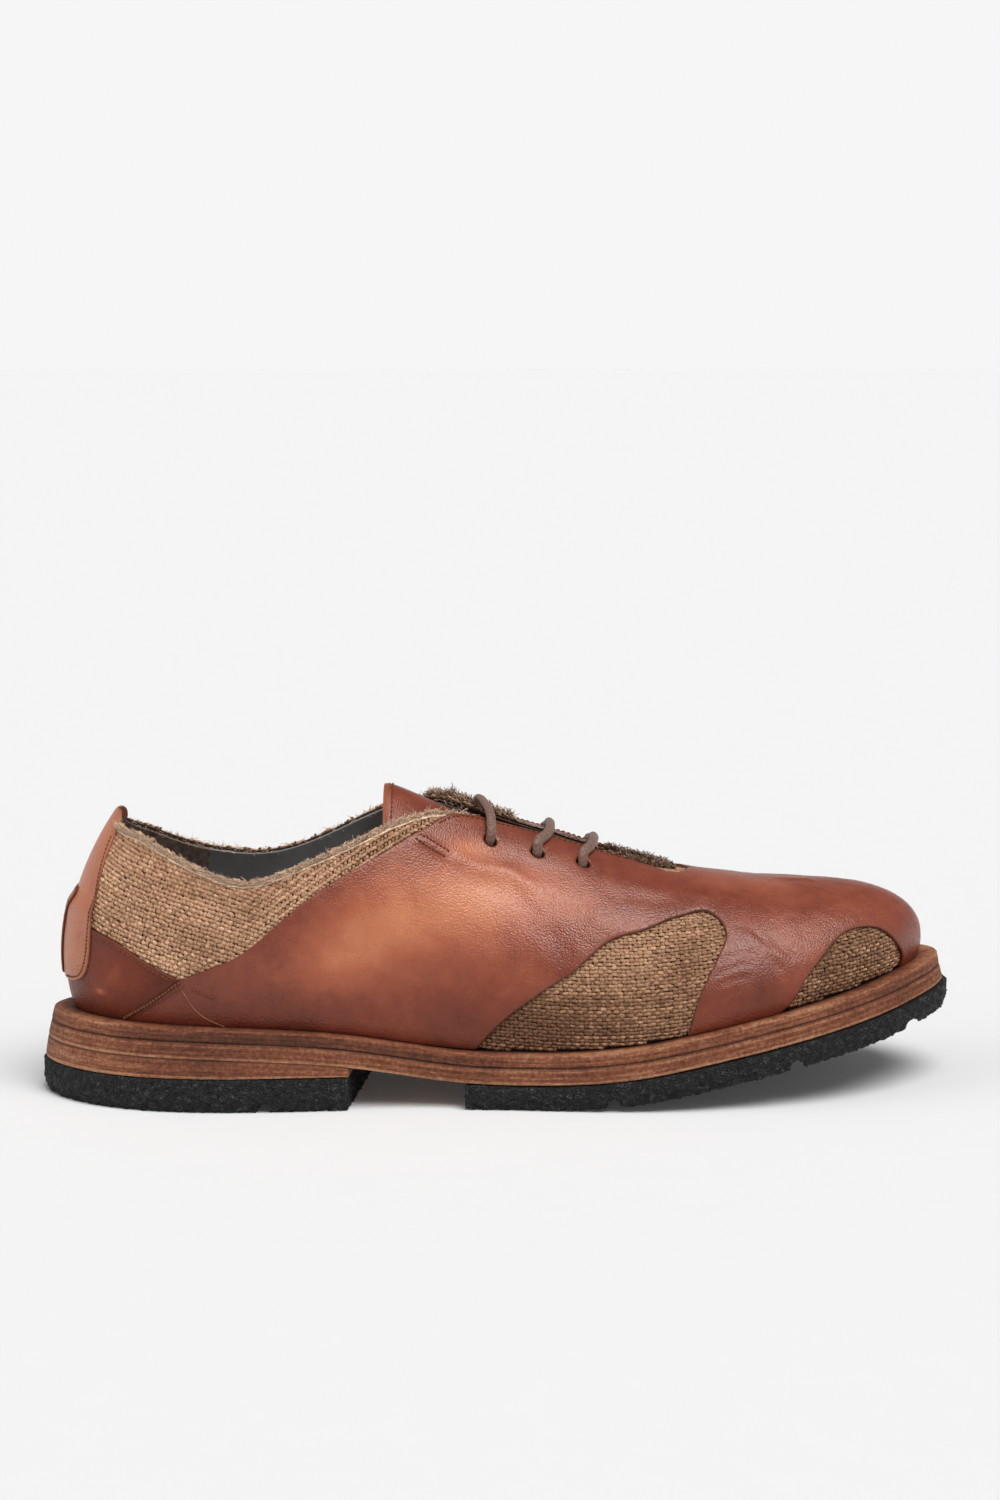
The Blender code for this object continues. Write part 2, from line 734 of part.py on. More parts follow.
def tube(name, path, radius, material):
    """Round cord along a path, with flat ends."""
    path = np.asarray(path, float)
    along = np.gradient(path, axis=0)
    along /= np.linalg.norm(along, axis=1, keepdims=True)
    side = np.cross(along[0], (1.0, 0.0, 0.0))
    points = []
    for place, direction in zip(path, along):
        side = side - direction * np.dot(side, direction)
        side /= np.linalg.norm(side)
        other = np.cross(direction, side)
        for step in range(LACE_SIDES):
            angle = 2 * math.pi * step / LACE_SIDES
            points.append(place + radius * (side * math.cos(angle) + other * math.sin(angle)))
    faces = [list(range(LACE_SIDES)), list(range(len(points) - 1, len(points) - LACE_SIDES - 1, -1))]
    for place in range(len(path) - 1):
        for step in range(LACE_SIDES):
            following = (step + 1) % LACE_SIDES
            low = place * LACE_SIDES
            high = low + LACE_SIDES
            faces.append([low + step, low + following, high + following, high + step])
    return make_object(name, points, faces, material)


def lace_half(ring, rise, target):
    """Lace from its hole over the facing to the middle of the throat."""
    point, axis = hole_frame(ring, rise)
    ahead = target - point
    ahead -= axis * np.dot(ahead, axis)
    ahead /= np.linalg.norm(ahead)
    path = [point + ahead * run + axis * lift for run, lift in LACE_TURN]
    for height in LACE_CREST:
        face_point, face_axis = hole_frame(ring, height)
        path.append(face_point + face_axis * LACE_LIFT)
    return path


def make_lace_bars():
    for number, (lateral_share, lateral_rise, medial_share, medial_rise) in enumerate(LACE_HOLES, start=1):
        lateral, _ = hole_frame(-lateral_share, lateral_rise)
        medial, _ = hole_frame(medial_share, medial_rise)
        path = lace_half(-lateral_share, lateral_rise, medial)
        path += list(reversed(lace_half(medial_share, medial_rise, lateral)))
        tube(f"lace_bar_{number}", path, LACE_RADIUS, "dark cord")


def raised(height, by):
    return lambda x: height(x) + by


def heel_floor(x):
    return np.zeros_like(x, dtype=float)


def make_sole():
    under_leather = raised(leather_underside, -GAP)
    midsole_top = raised(leather_underside, MIDSOLE_THICK)
    welt_bottom = raised(midsole_top, GAP)
    heel_top = raised(heel_floor, HEEL_RUBBER_TOP)
    insole_foot = raised(sole_top, GAP)
    loft("midsole", [
        level(sole_edge(MIDSOLE_LOW_INSET + EDGE_BEVEL), leather_underside),
        level(sole_edge(MIDSOLE_LOW_INSET), raised(leather_underside, EDGE_BEVEL)),
        level(sole_edge(WELT_LOW_INSET), midsole_top),
    ], "sole leather")
    loft("welt", [
        level(feather_edge(WELT_SEAT), welt_bottom),
        level(sole_edge(WELT_LOW_INSET), welt_bottom),
        level(sole_edge(WELT_TOP_INSET), raised(sole_top, -EDGE_BEVEL)),
        level(sole_edge(WELT_TOP_INSET + EDGE_BEVEL), sole_top),
        level(feather_edge(WELT_SEAT), sole_top),
    ], "sole leather", hollow=True)
    loft("insole", [
        level(feather_edge(WELT_SEAT + GAP), welt_bottom),
        level(feather_edge(WELT_SEAT + GAP), insole_foot),
        level(feather_edge(WALL + INSOLE_CLEAR), insole_foot),
        level(feather_edge(WALL + INSOLE_CLEAR), raised(insole_foot, INSOLE_THICK)),
    ], "dark leather")
    lift = loft("heel_lift", [
        level(sole_edge(LIFT_LOW_INSET), raised(heel_top, GAP)),
        level(sole_edge(MIDSOLE_LOW_INSET), under_leather),
    ], "sole leather")
    heel = loft("heel_rubber", [
        level(sole_edge(RUBBER_FLOOR_INSET), heel_floor),
        level(sole_edge(0.0), raised(heel_floor, RUBBER_ROUND)),
        level(sole_edge(RUBBER_TOP_INSET), heel_top),
    ], "black rubber")
    forefoot = loft("forefoot_rubber", [
        level(sole_edge(RUBBER_FLOOR_INSET), spring),
        level(sole_edge(0.0), raised(spring, RUBBER_ROUND)),
        level(sole_edge(RUBBER_TOP_INSET), under_leather),
    ], "black rubber")
    cut_across(lift, HEEL_BREAST, 1)
    cut_across(heel, HEEL_BREAST, 1)
    cut_across(forefoot, FOREFOOT_REAR, -1)
    for x in HEEL_GROOVES:
        cut_groove(heel, x, heel_floor)
    for x in FOREFOOT_GROOVES:
        cut_groove(forefoot, x, spring)


def build_shoe():
    for old in list(bpy.data.objects):
        bpy.data.objects.remove(old)
    make_sole()
    upper = shell("upper", lambda z: -WALL, lambda z: 0.0, "burlap")
    vamp = make_vamp()
    make_counter()
    make_heel_strip()
    punch_holes((upper, vamp))
    make_tongue()
    make_lace_bars()


build_shoe()
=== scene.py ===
"""Looks of the right oxford shoe: grained leather, burlap weave with raw edges, welted sole, laces."""

import math

import bmesh
import bpy
import numpy as np
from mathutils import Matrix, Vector, geometry, noise


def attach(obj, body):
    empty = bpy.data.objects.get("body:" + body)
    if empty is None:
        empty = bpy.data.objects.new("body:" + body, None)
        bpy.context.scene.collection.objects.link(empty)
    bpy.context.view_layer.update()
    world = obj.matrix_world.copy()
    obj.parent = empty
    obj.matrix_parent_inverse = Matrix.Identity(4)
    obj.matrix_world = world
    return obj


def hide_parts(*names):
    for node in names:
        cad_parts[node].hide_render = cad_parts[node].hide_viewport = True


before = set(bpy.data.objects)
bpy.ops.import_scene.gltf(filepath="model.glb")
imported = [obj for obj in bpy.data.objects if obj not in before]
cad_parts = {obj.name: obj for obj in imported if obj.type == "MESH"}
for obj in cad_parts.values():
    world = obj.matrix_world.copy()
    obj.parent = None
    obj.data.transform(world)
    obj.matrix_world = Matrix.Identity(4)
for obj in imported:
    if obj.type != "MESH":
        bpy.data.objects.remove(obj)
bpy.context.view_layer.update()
rng = np.random.default_rng(11)

# Sizes in millimetres: x runs from heel to toe, y from the lateral to the medial side, z up
MM = 0.001
GAP = 0.3
HEEL_BACK = (-151.0, -14.0)
TOE_TIP = (151.0, 8.0)
LATERAL_EDGE = (
    (-140.5, -35.5), (-113.0, -51.3), (-78.0, -53.8), (-32.0, -49.6), (12.0, -51.4), (48.0, -54.0),
    (85.0, -49.5), (118.0, -36.0), (141.0, -14.0),
)
MEDIAL_EDGE = (
    (-134.0, 12.5), (-102.0, 24.0), (-57.0, 26.5), (-12.0, 36.0), (33.0, 49.5), (75.0, 55.0),
    (117.0, 48.0), (142.0, 31.0),
)
EDGE_SAMPLES = 6000
EDGE_WRAP = 5
EDGE_STEP = 0.002

# Underside of the leather sole (x, z) before the toe spring is added
LEATHER_UNDERSIDE = (
    (-160.0, 17.9), (-90.0, 17.0), (-48.0, 13.8), (-12.0, 8.7), (20.0, 8.3), (90.0, 8.7), (160.0, 9.1),
)
SPRING_START = 15.0
SPRING_STRAIGHT = 55.0
SPRING_SLOPE = 0.204
MIDSOLE_THICK = 5.2
WELT_THICK = 3.9
SOLE_THICK = MIDSOLE_THICK + GAP + WELT_THICK
HEEL_RUBBER_TOP = 11.0
WELT_TOP_INSET = 4.0
WELT_LOW_INSET = 3.1
MIDSOLE_LOW_INSET = 1.9
LIFT_LOW_INSET = 0.9
WELT_SEAT = 4.0
HEEL_BREAST = (-48.4, -48.7)
BREAST_SLANT = math.radians(5.8)

# Upper: inset of its foot from the widest outline (share of the way from heel to toe, inset)
FEATHER = (
    (0.0, 12.2), (0.12, 11.4), (0.3, 10.2), (0.75, 10.4), (0.9, 11.6), (1.0, 12.0),
)
# Top line of the upper: share, x, middle y, half opening, lateral z, medial z
TOP_LINE = (
    (0.0, -125.8, -14.5, 0.0, 91.2, 91.2), (0.05, -123.0, -14.5, 9.6, 88.9, 88.0),
    (0.1, -115.5, -14.8, 17.5, 86.8, 84.0), (0.15, -104.5, -15.0, 22.8, 81.2, 79.0),
    (0.2, -92.5, -15.0, 25.3, 75.6, 76.0), (0.25, -79.5, -15.0, 26.0, 73.0, 75.0),
    (0.3, -66.0, -14.0, 25.2, 77.2, 78.0), (0.35, -51.5, -12.5, 23.0, 83.2, 84.5),
    (0.4, -36.5, -10.5, 19.0, 89.6, 91.5), (0.45, -20.0, -7.5, 12.5, 92.6, 94.0),
    (0.5, -2.5, -4.5, 7.5, 87.6, 88.4), (0.55, 15.0, -2.0, 5.6, 82.2, 82.6),
    (0.6, 33.0, 0.0, 4.8, 76.3, 76.5), (0.65, 51.0, 1.6, 2.6, 71.2, 71.2),
    (0.68, 60.0, 2.4, 0.0, 69.4, 69.4), (0.7, 65.5, 2.8, 0.0, 68.5, 68.5),
    (0.75, 78.0, 3.8, 0.0, 66.6, 66.6), (0.8, 88.5, 4.6, 0.0, 65.6, 65.6),
    (0.85, 97.0, 5.3, 0.0, 65.1, 65.1), (0.9, 103.0, 5.8, 0.0, 64.8, 64.8),
    (0.95, 107.0, 6.1, 0.0, 64.6, 64.6), (1.0, 108.5, 6.2, 0.0, 64.5, 64.5),
)
# Bulge of the wall: share, handle out and up from the foot, handle out and down from the top line
WALL_SHAPE = (
    (0.0, 6.7, 20.0, 13.4, 20.0), (0.1, 6.5, 19.0, 12.0, 19.0), (0.2, 5.5, 15.0, 6.5, 15.0),
    (0.3, 5.0, 15.0, 5.0, 15.0), (0.4, 5.0, 20.0, 11.0, 18.0), (0.5, 6.0, 26.0, 18.0, 10.0),
    (0.6, 6.0, 25.0, 22.0, 4.0), (0.68, 6.0, 22.0, 24.0, 0.0), (0.75, 6.0, 20.0, 24.0, 0.0),
    (0.8, 6.0, 18.5, 23.0, 0.0), (0.9, 5.6, 16.0, 23.0, 0.0), (1.0, 5.0, 15.0, 24.0, 0.0),
)
MIRRORED_ROWS = 4
THROAT_END = 0.68
CREST_SLOPE = -0.06
EDGE_PULL = 20.0
NORMAL_STEP = 0.004
NORMAL_TOP = 0.985
FRAME_STEP = 0.003
TINY = 1e-9
WALL = 2.0
LEATHER = 1.2
OVER = GAP + LEATHER
STRIP_STEP_LOW = 61.0
STRIP_STEP_HIGH = 67.0

# Pattern lines on the upper: share of the way to the toe, share of the way up the wall
SLANT_SEAM = (
    (0.124, 0.0), (0.158, 0.129), (0.19, 0.304), (0.239, 0.479), (0.271, 0.621), (0.312, 0.762),
    (0.357, 0.838), (0.39, 0.862), (0.424, 0.896),
)
FACING_EDGE = (
    (0.424, 0.896), (0.439, 0.912), (0.451, 0.95), (0.464, 0.978), (0.48, 0.992), (0.53, 0.993),
    (0.57, 0.99), (0.598, 0.98), (0.62, 0.975), (0.64, 0.945), (0.652, 0.915), (0.664, 0.88),
    (0.676, 0.9), (0.684, 0.945), (0.69, 1.0),
)
BALL_WINDOW = (
    (0.465, 0.0), (0.483, 0.096), (0.506, 0.175), (0.54, 0.267), (0.563, 0.329), (0.598, 0.454),
    (0.632, 0.512), (0.653, 0.558), (0.675, 0.588), (0.691, 0.604), (0.7, 0.579), (0.706, 0.533),
    (0.708, 0.467), (0.7, 0.379), (0.691, 0.304), (0.682, 0.233), (0.673, 0.138), (0.665, 0.0),
)
TOE_WINDOW = (
    (0.758, 0.0), (0.771, 0.05), (0.783, 0.142), (0.802, 0.246), (0.824, 0.342), (0.848, 0.404),
    (0.87, 0.412), (0.888, 0.392), (0.904, 0.329), (0.917, 0.221), (0.929, 0.1), (0.931, 0.0),
)
COUNTER_TOP = (
    (0.0, 0.49), (0.079, 0.471), (0.107, 0.45), (0.148, 0.379), (0.188, 0.304),
)
COUNTER_FRONT = (COUNTER_TOP[-1], (0.156, 0.129), (0.122, 0.0))
STRIP_OUTLINE = (
    (0.0, 0.16), (0.035, 0.164), (0.057, 0.18), (0.07, 0.212), (0.08, 0.3), (0.081, 0.392),
    (0.079, 0.471), (0.073, 0.6), (0.067, 0.717), (0.058, 0.896), (0.053, 0.97), (0.046, 1.012),
    (0.0, 1.02),
)
TAB_OUTLINE = (
    (0.0, 0.176), (0.008, 0.18), (0.0135, 0.205), (0.0145, 0.26), (0.0145, 0.4), (0.0165, 0.5),
    (0.023, 0.59), (0.02, 0.612), (0.0, 0.606),
)
# Lace holes: lateral share and rise, medial share and rise
LACE_HOLES = (
    (0.494, 0.85, 0.484, 0.85), (0.538, 0.829, 0.547, 0.829), (0.58, 0.825, 0.589, 0.825),
)
# Lean of each lace towards the toe, as a share, from its hole to the facing edge
LACE_LEAN = (0.0, 0.013, 0.011)
HOLE_RADIUS = 2.3
HOLE_CORNERS = 20
LACE_LIFT = OVER + 1.5 + GAP
# Tongue: x, crest y, crest z, half width, drop at the edge
TONGUE = (
    (-38.0, -10.5, 100.0, 19.0, 17.4), (-30.0, -9.5, 96.8, 18.5, 16.0), (-18.0, -6.8, 91.0, 18.5, 14.0),
    (0.0, -4.5, 83.9, 20.0, 15.0), (18.0, -1.5, 78.0, 21.0, 13.0), (36.0, 0.5, 71.6, 21.0, 10.5),
    (54.0, 2.0, 66.4, 20.0, 8.0), (66.0, 2.8, 64.2, 17.0, 6.0),
)

# Flat pattern: millimetres for a whole share and a whole rise
FLAT = np.array([395.0, 85.0])
SIDES = ((-1, "lateral"), (1, "medial"))


def unit(vectors):
    return vectors / np.linalg.norm(vectors, axis=-1, keepdims=True)


def run_along(points):
    """Distance along a line to each of its points."""
    return np.concatenate(([0.0], np.cumsum(np.linalg.norm(np.diff(points, axis=0), axis=1))))


def carry(place, run, table):
    """Columns of a table at places along its run."""
    return np.stack([np.interp(place, run, column) for column in table.T], axis=-1)


def smooth_step(part):
    part = np.clip(part, 0.0, 1.0)
    return part * part * (3 - 2 * part)


def hump(gap, half):
    """Bell curve of a distance."""
    return np.exp(-(gap / half) ** 2)


def spline(knots, values):
    """Smooth curve through rows of values, as a function of the knot value."""
    knots = np.asarray(knots, float)
    values = np.asarray(values, float)
    count = len(knots)
    step = np.diff(knots)
    slope = np.diff(values, axis=0) / step[:, None]
    system = np.eye(count)
    right = np.zeros(values.shape)
    for row in range(1, count - 1):
        system[row, row - 1:row + 2] = step[row - 1], 2 * (step[row - 1] + step[row]), step[row]
        right[row] = 6 * (slope[row] - slope[row - 1])
    bend = np.linalg.solve(system, right)

    def at(where):
        where = np.asarray(where, float)
        low = np.clip(np.searchsorted(knots, where, side="right") - 1, 0, count - 2)
        width = step[low][..., None]
        near = (where - knots[low])[..., None]
        far = width - near
        cubic = (bend[low] * far ** 3 + bend[low + 1] * near ** 3) / (6 * width)
        start = (values[low] / width - bend[low] * width / 6) * far
        stop = (values[low + 1] / width - bend[low + 1] * width / 6) * near
        return cubic + start + stop

    return at


def table_curve(rows):
    """Smooth curve through a table whose first column is the knot value."""
    rows = np.asarray(rows, float)
    return spline(rows[:, 0], rows[:, 1:])


def two_sided(rows, odd_column=None):
    """Table over the share from heel to toe, carried smoothly over both ends to the other side."""
    rows = np.asarray(rows, float)
    before = rows[MIRRORED_ROWS:0:-1].copy()
    after = rows[-2:-2 - MIRRORED_ROWS:-1].copy()
    before[:, 0] *= -1
    after[:, 0] = 2 - after[:, 0]
    if odd_column is not None:
        before[:, odd_column] *= -1
        after[:, odd_column] *= -1
    return table_curve(np.vstack([before, rows, after]))


def measured_edge():
    """Points round the sole's widest outline, their run from the heel, and the run to the toe tip."""
    corners = [HEEL_BACK, *LATERAL_EDGE, TOE_TIP, *reversed(MEDIAL_EDGE)]
    count = len(corners)
    wrapped = np.array([corners[i % count] for i in range(-EDGE_WRAP, count + EDGE_WRAP + 1)])
    chord = run_along(wrapped)
    place = np.linspace(chord[EDGE_WRAP], chord[EDGE_WRAP + count], EDGE_SAMPLES + 1)
    points = spline(chord, wrapped)(place)
    run = run_along(points)
    toe = np.interp(chord[EDGE_WRAP + len(LATERAL_EDGE) + 1], place, run)
    points -= (points.min(axis=0) + points.max(axis=0)) / 2
    return points, run, toe


EDGE_POINTS, EDGE_RUN, TOE_RUN = measured_edge()
feather_inset = two_sided(FEATHER)
top_line = two_sided(TOP_LINE, odd_column=3)
wall_shape = two_sided(WALL_SHAPE)
underside_curve = table_curve(LEATHER_UNDERSIDE)
tongue_curve = table_curve(TONGUE)


def edge_point(ring):
    """Widest outline at a ring value: 0 at the heel, -1 and 1 at the toe, negative on the lateral side."""
    ring = (np.asarray(ring, float) + 1) % 2 - 1
    run = np.where(ring <= 0, -ring * TOE_RUN, EDGE_RUN[-1] - ring * (EDGE_RUN[-1] - TOE_RUN))
    return carry(run, EDGE_RUN, EDGE_POINTS)


def inset_edge(ring, inset):
    """Outline moved inwards, and its outward direction."""
    along = unit(edge_point(ring - EDGE_STEP) - edge_point(ring + EDGE_STEP))
    outward = np.stack([along[..., 1], -along[..., 0]], axis=-1)
    return edge_point(ring) - outward * np.asarray(inset)[..., None], outward


def spring(x):
    """Rise of the sole's floor line towards the toe."""
    radius = (SPRING_STRAIGHT - SPRING_START) / SPRING_SLOPE
    bent = np.clip(x - SPRING_START, 0, SPRING_STRAIGHT - SPRING_START)
    return bent ** 2 / (2 * radius) + np.maximum(x - SPRING_STRAIGHT, 0) * SPRING_SLOPE


def leather_underside(x):
    return underside_curve(x)[..., 0] + spring(x)


def sole_top(x):
    return leather_underside(x) + SOLE_THICK


def upper_point(ring, rise):
    """Outer face of the upper: a curved meridian from the foot of the wall to the top line."""
    ring, rise = np.broadcast_arrays((np.asarray(ring, float) + 1) % 2 - 1, np.asarray(rise, float))
    share = np.abs(ring)
    side = np.where(ring < 0, -1.0, 1.0)
    closed = share >= THROAT_END - TINY
    foot_plan, outward = inset_edge(ring, feather_inset(share)[..., 0])
    foot = np.concatenate([foot_plan, (sole_top(foot_plan[..., 0]) + GAP)[..., None]], axis=-1)
    x, middle, opening, lateral_z, medial_z = np.moveaxis(top_line(share), -1, 0)
    opening = np.where(closed, 0.0, np.maximum(opening, 0.0))
    top = np.stack([x, middle + side * opening, np.where(side < 0, lateral_z, medial_z)], axis=-1)
    foot_out, foot_up, top_out, top_down = np.moveaxis(wall_shape(share), -1, 0)[..., None]
    top_down = np.where(closed[..., None], 0.0, np.maximum(top_down, 0.0))
    spread = unit(foot_plan - top[..., :2] + EDGE_PULL * outward)
    fall = np.where(closed, CREST_SLOPE * spread[..., 0], 0.0)
    level = np.zeros_like(share)
    up = np.array([0.0, 0.0, 1.0])
    low_handle = foot + np.concatenate([outward, level[..., None]], axis=-1) * foot_out + up * foot_up
    high_handle = top + np.concatenate([spread, fall[..., None]], axis=-1) * top_out - up * top_down
    rise = rise[..., None]
    rest = 1 - rise
    ends = foot * rest ** 3 + top * rise ** 3
    return ends + 3 * rise * rest * (low_handle * rest + high_handle * rise)


def surface_steps(ring, rise, step):
    """Change of the upper's face over a small step round the shoe and a small step up the wall."""
    around = upper_point(ring + step, rise) - upper_point(ring - step, rise)
    return around, upper_point(ring, rise + step) - upper_point(ring, rise - step)


def upper_normal(ring, rise):
    """Outward direction of the upper's face, level at the foot and shared by both sides at the crest."""
    ring, rise = np.broadcast_arrays(np.asarray(ring, float), np.asarray(rise, float))
    inner_rise = np.clip(rise, NORMAL_STEP, NORMAL_TOP)

    def raw(at_ring):
        around, upward = surface_steps(at_ring, inner_rise, NORMAL_STEP)
        return unit(np.cross(upward, around))

    normal = raw(ring)
    crest = (rise >= 1.0) & (np.abs(ring) >= THROAT_END - TINY)
    normal = np.where(crest[..., None], normal + raw(-ring), normal)
    normal[..., 2] = np.where(rise <= 0.0, 0.0, normal[..., 2])
    return unit(normal)


def surface_frame(ring, rise):
    """Point, direction towards the toe, direction up the wall and outward direction."""
    inner_rise = np.clip(rise, FRAME_STEP, 1 - FRAME_STEP)
    side = np.where(np.asarray(ring) < 0, -1.0, 1.0)[..., None]
    around, upward = surface_steps(ring, inner_rise, FRAME_STEP)
    return upper_point(ring, rise), unit(around) * side, unit(upward), upper_normal(ring, rise)


# Mesh helpers


def add_piece(name, points, faces, material, slot, replaces=(), tint=None, flow=None):
    mesh = bpy.data.meshes.new(name)
    faces = faces.tolist() if isinstance(faces, np.ndarray) else faces
    mesh.from_pydata((np.asarray(points) * MM).tolist(), [], faces)
    if tint is not None:
        color = np.ones((len(points), 4), np.float32)
        color[:, :3] = tint
        mesh.attributes.new("tint", "FLOAT_COLOR", "POINT").data.foreach_set("color", color.ravel())
    if flow is not None:
        layer = mesh.attributes.new("flow", "FLOAT_VECTOR", "POINT")
        layer.data.foreach_set("vector", np.asarray(flow, np.float32).ravel())
    mesh.polygons.foreach_set("use_smooth", [True] * len(mesh.polygons))
    mesh.materials.append(material)
    piece = bpy.data.objects.new(name, mesh)
    bpy.context.scene.collection.objects.link(piece)
    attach(piece, "root")
    if replaces:
        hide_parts(*replaces)
    return piece


def outward_faces(points, faces):
    """Faces turned so that the closed mesh encloses a positive volume."""
    corner = np.asarray(points)[np.asarray(faces)[:, :3]]
    volume = np.einsum("ij,ij->i", corner[:, 0], np.cross(corner[:, 1], corner[:, 2])).sum()
    return faces if volume > 0 else faces[:, ::-1]


def round_turns(sides):
    return math.pi / 2 + 2 * math.pi * np.arange(sides) / sides


def ring_quads(index):
    """Quads between neighbouring rings of point numbers."""
    after = np.roll(index, -1, axis=-1)
    corners = index[..., :-1, :], after[..., :-1, :], after[..., 1:, :], index[..., 1:, :]
    return np.stack(corners, axis=-1).reshape(-1, 4)


YARN_SIDES = 5
FIBRE_SIDES = 3


def tubes(paths, across, upward, wide, high, sides=YARN_SIDES):
    """Closed rounded strands: points and faces of many short tubes with the same number of stations."""
    turn = round_turns(sides)
    ring = across[:, :, None] * (np.asarray(wide)[..., None] * np.cos(turn))[..., None]
    ring = ring + upward[:, :, None] * (np.asarray(high)[..., None] * np.sin(turn))[..., None]
    points = (paths[:, :, None] + ring).reshape(-1, 3)
    index = np.arange(len(points)).reshape(*paths.shape[:2], sides)
    caps = index[:, 0, ::-1].tolist() + index[:, -1].tolist()
    return points, ring_quads(index).tolist() + caps


def strand_frames(paths):
    """Two directions square to each strand."""
    along = unit(np.gradient(paths, axis=1))
    pick = np.where(np.abs(along[..., 2:3]) > 0.8, [1.0, 0.0, 0.0], [0.0, 0.0, 1.0])
    across = unit(np.cross(along, pick))
    return across, np.cross(along, across)


def spread_tint(colors, points):
    """One colour for each strand, carried to all its points."""
    return np.repeat(colors, points // len(colors), axis=0)


def yarn_flow(along, half):
    """Place along and across each yarn, and a number of its own."""
    flow = np.zeros((*along.shape, YARN_SIDES, 3))
    flow[..., 0] = along[..., None]
    flow[..., 1] = np.cos(round_turns(YARN_SIDES)) * half
    flow[..., 2] = rng.uniform(0.0, 90.0, len(along))[:, None, None]
    return flow.reshape(-1, 3)


def add_fibres(name, paths, thin, colors, material):
    """Piece of fine fibres with a radius for each station and a colour for each fibre."""
    thin = np.array(thin) * np.ones((len(paths), 1))
    points, faces = tubes(paths, *strand_frames(paths), thin, thin, FIBRE_SIDES)
    add_piece(name, points, faces, material, "burlap", (), spread_tint(colors, len(points)), points)


def noise_over(places, scale, seed):
    """Noise at each flat place, with one seed or a seed for each."""
    seeds = np.broadcast_to(seed, len(places)).tolist()
    return np.array([noise.noise((x * scale, y * scale, z)) for (x, y), z in zip(places.tolist(), seeds)])


def noise_along(values, scale, *seeds):
    return np.array([noise.noise((value * scale, *seeds)) for value in values.tolist()])


def resample(points, spacing, smooth=True):
    """Even samples along a pattern line, measured on the flat pattern."""
    points = np.asarray(points, float) * FLAT
    chord = run_along(points)
    place = np.linspace(0.0, chord[-1], max(2, int(round(chord[-1] / spacing)) + 1))
    if smooth and len(points) > 2:
        return spline(chord, points)(place)
    return carry(place, chord, points)


def inside(points, loop):
    x, y = points[:, 0][:, None], points[:, 1][:, None]
    start, stop = loop, np.roll(loop, -1, axis=0)
    drop = stop[:, 1] - start[:, 1]
    drop = np.where(np.abs(drop) < 1e-12, 1e-12, drop)
    hit = x < (stop[:, 0] - start[:, 0]) * (y - start[:, 1]) / drop + start[:, 0]
    crossing = ((start[:, 1] > y) != (stop[:, 1] > y)) & hit
    return crossing.sum(axis=1) % 2 == 1


def distance_to(points, line):
    """Distance from flat points to the nearest piece of a polyline."""
    nearest = np.full(len(points), 1e9)
    for start, stop in zip(line[:-1], line[1:]):
        along = stop - start
        place = np.clip(((points - start) @ along) / max(along @ along, 1e-12), 0.0, 1.0)
        gap = points - start - place[:, None] * along
        nearest = np.minimum(nearest, np.einsum("ij,ij->i", gap, gap))
    return np.sqrt(nearest)


def lace_hole_loops(side):
    """Round lace holes on the flat pattern, allowing for the pattern's stretch at each place."""
    loops = []
    turn = 2 * math.pi * np.arange(HOLE_CORNERS) / HOLE_CORNERS
    for row in LACE_HOLES:
        share, rise = row[:2] if side < 0 else row[2:]
        steps = surface_steps(side * share, rise, NORMAL_STEP)
        across, upward = (np.linalg.norm(step) / (2 * NORMAL_STEP) for step in steps)
        ring = np.stack([np.cos(turn) * HOLE_RADIUS / across, np.sin(turn) * HOLE_RADIUS / upward], axis=-1)
        loops.append((np.array([share, rise]) + ring) * FLAT)
    return loops


# Rows of points beside a cut edge, so that the edge can be rounded
RIM_NEAR = 0.40
RIM_FAR = 0.90
ROW_STEP = 0.866
RELIEF_FADE = 2.5


def rim(*points):
    """Cut edge of a sheet."""
    return points, True


def join(*points):
    """Line where a sheet goes on over the other side of the shoe."""
    return points, False


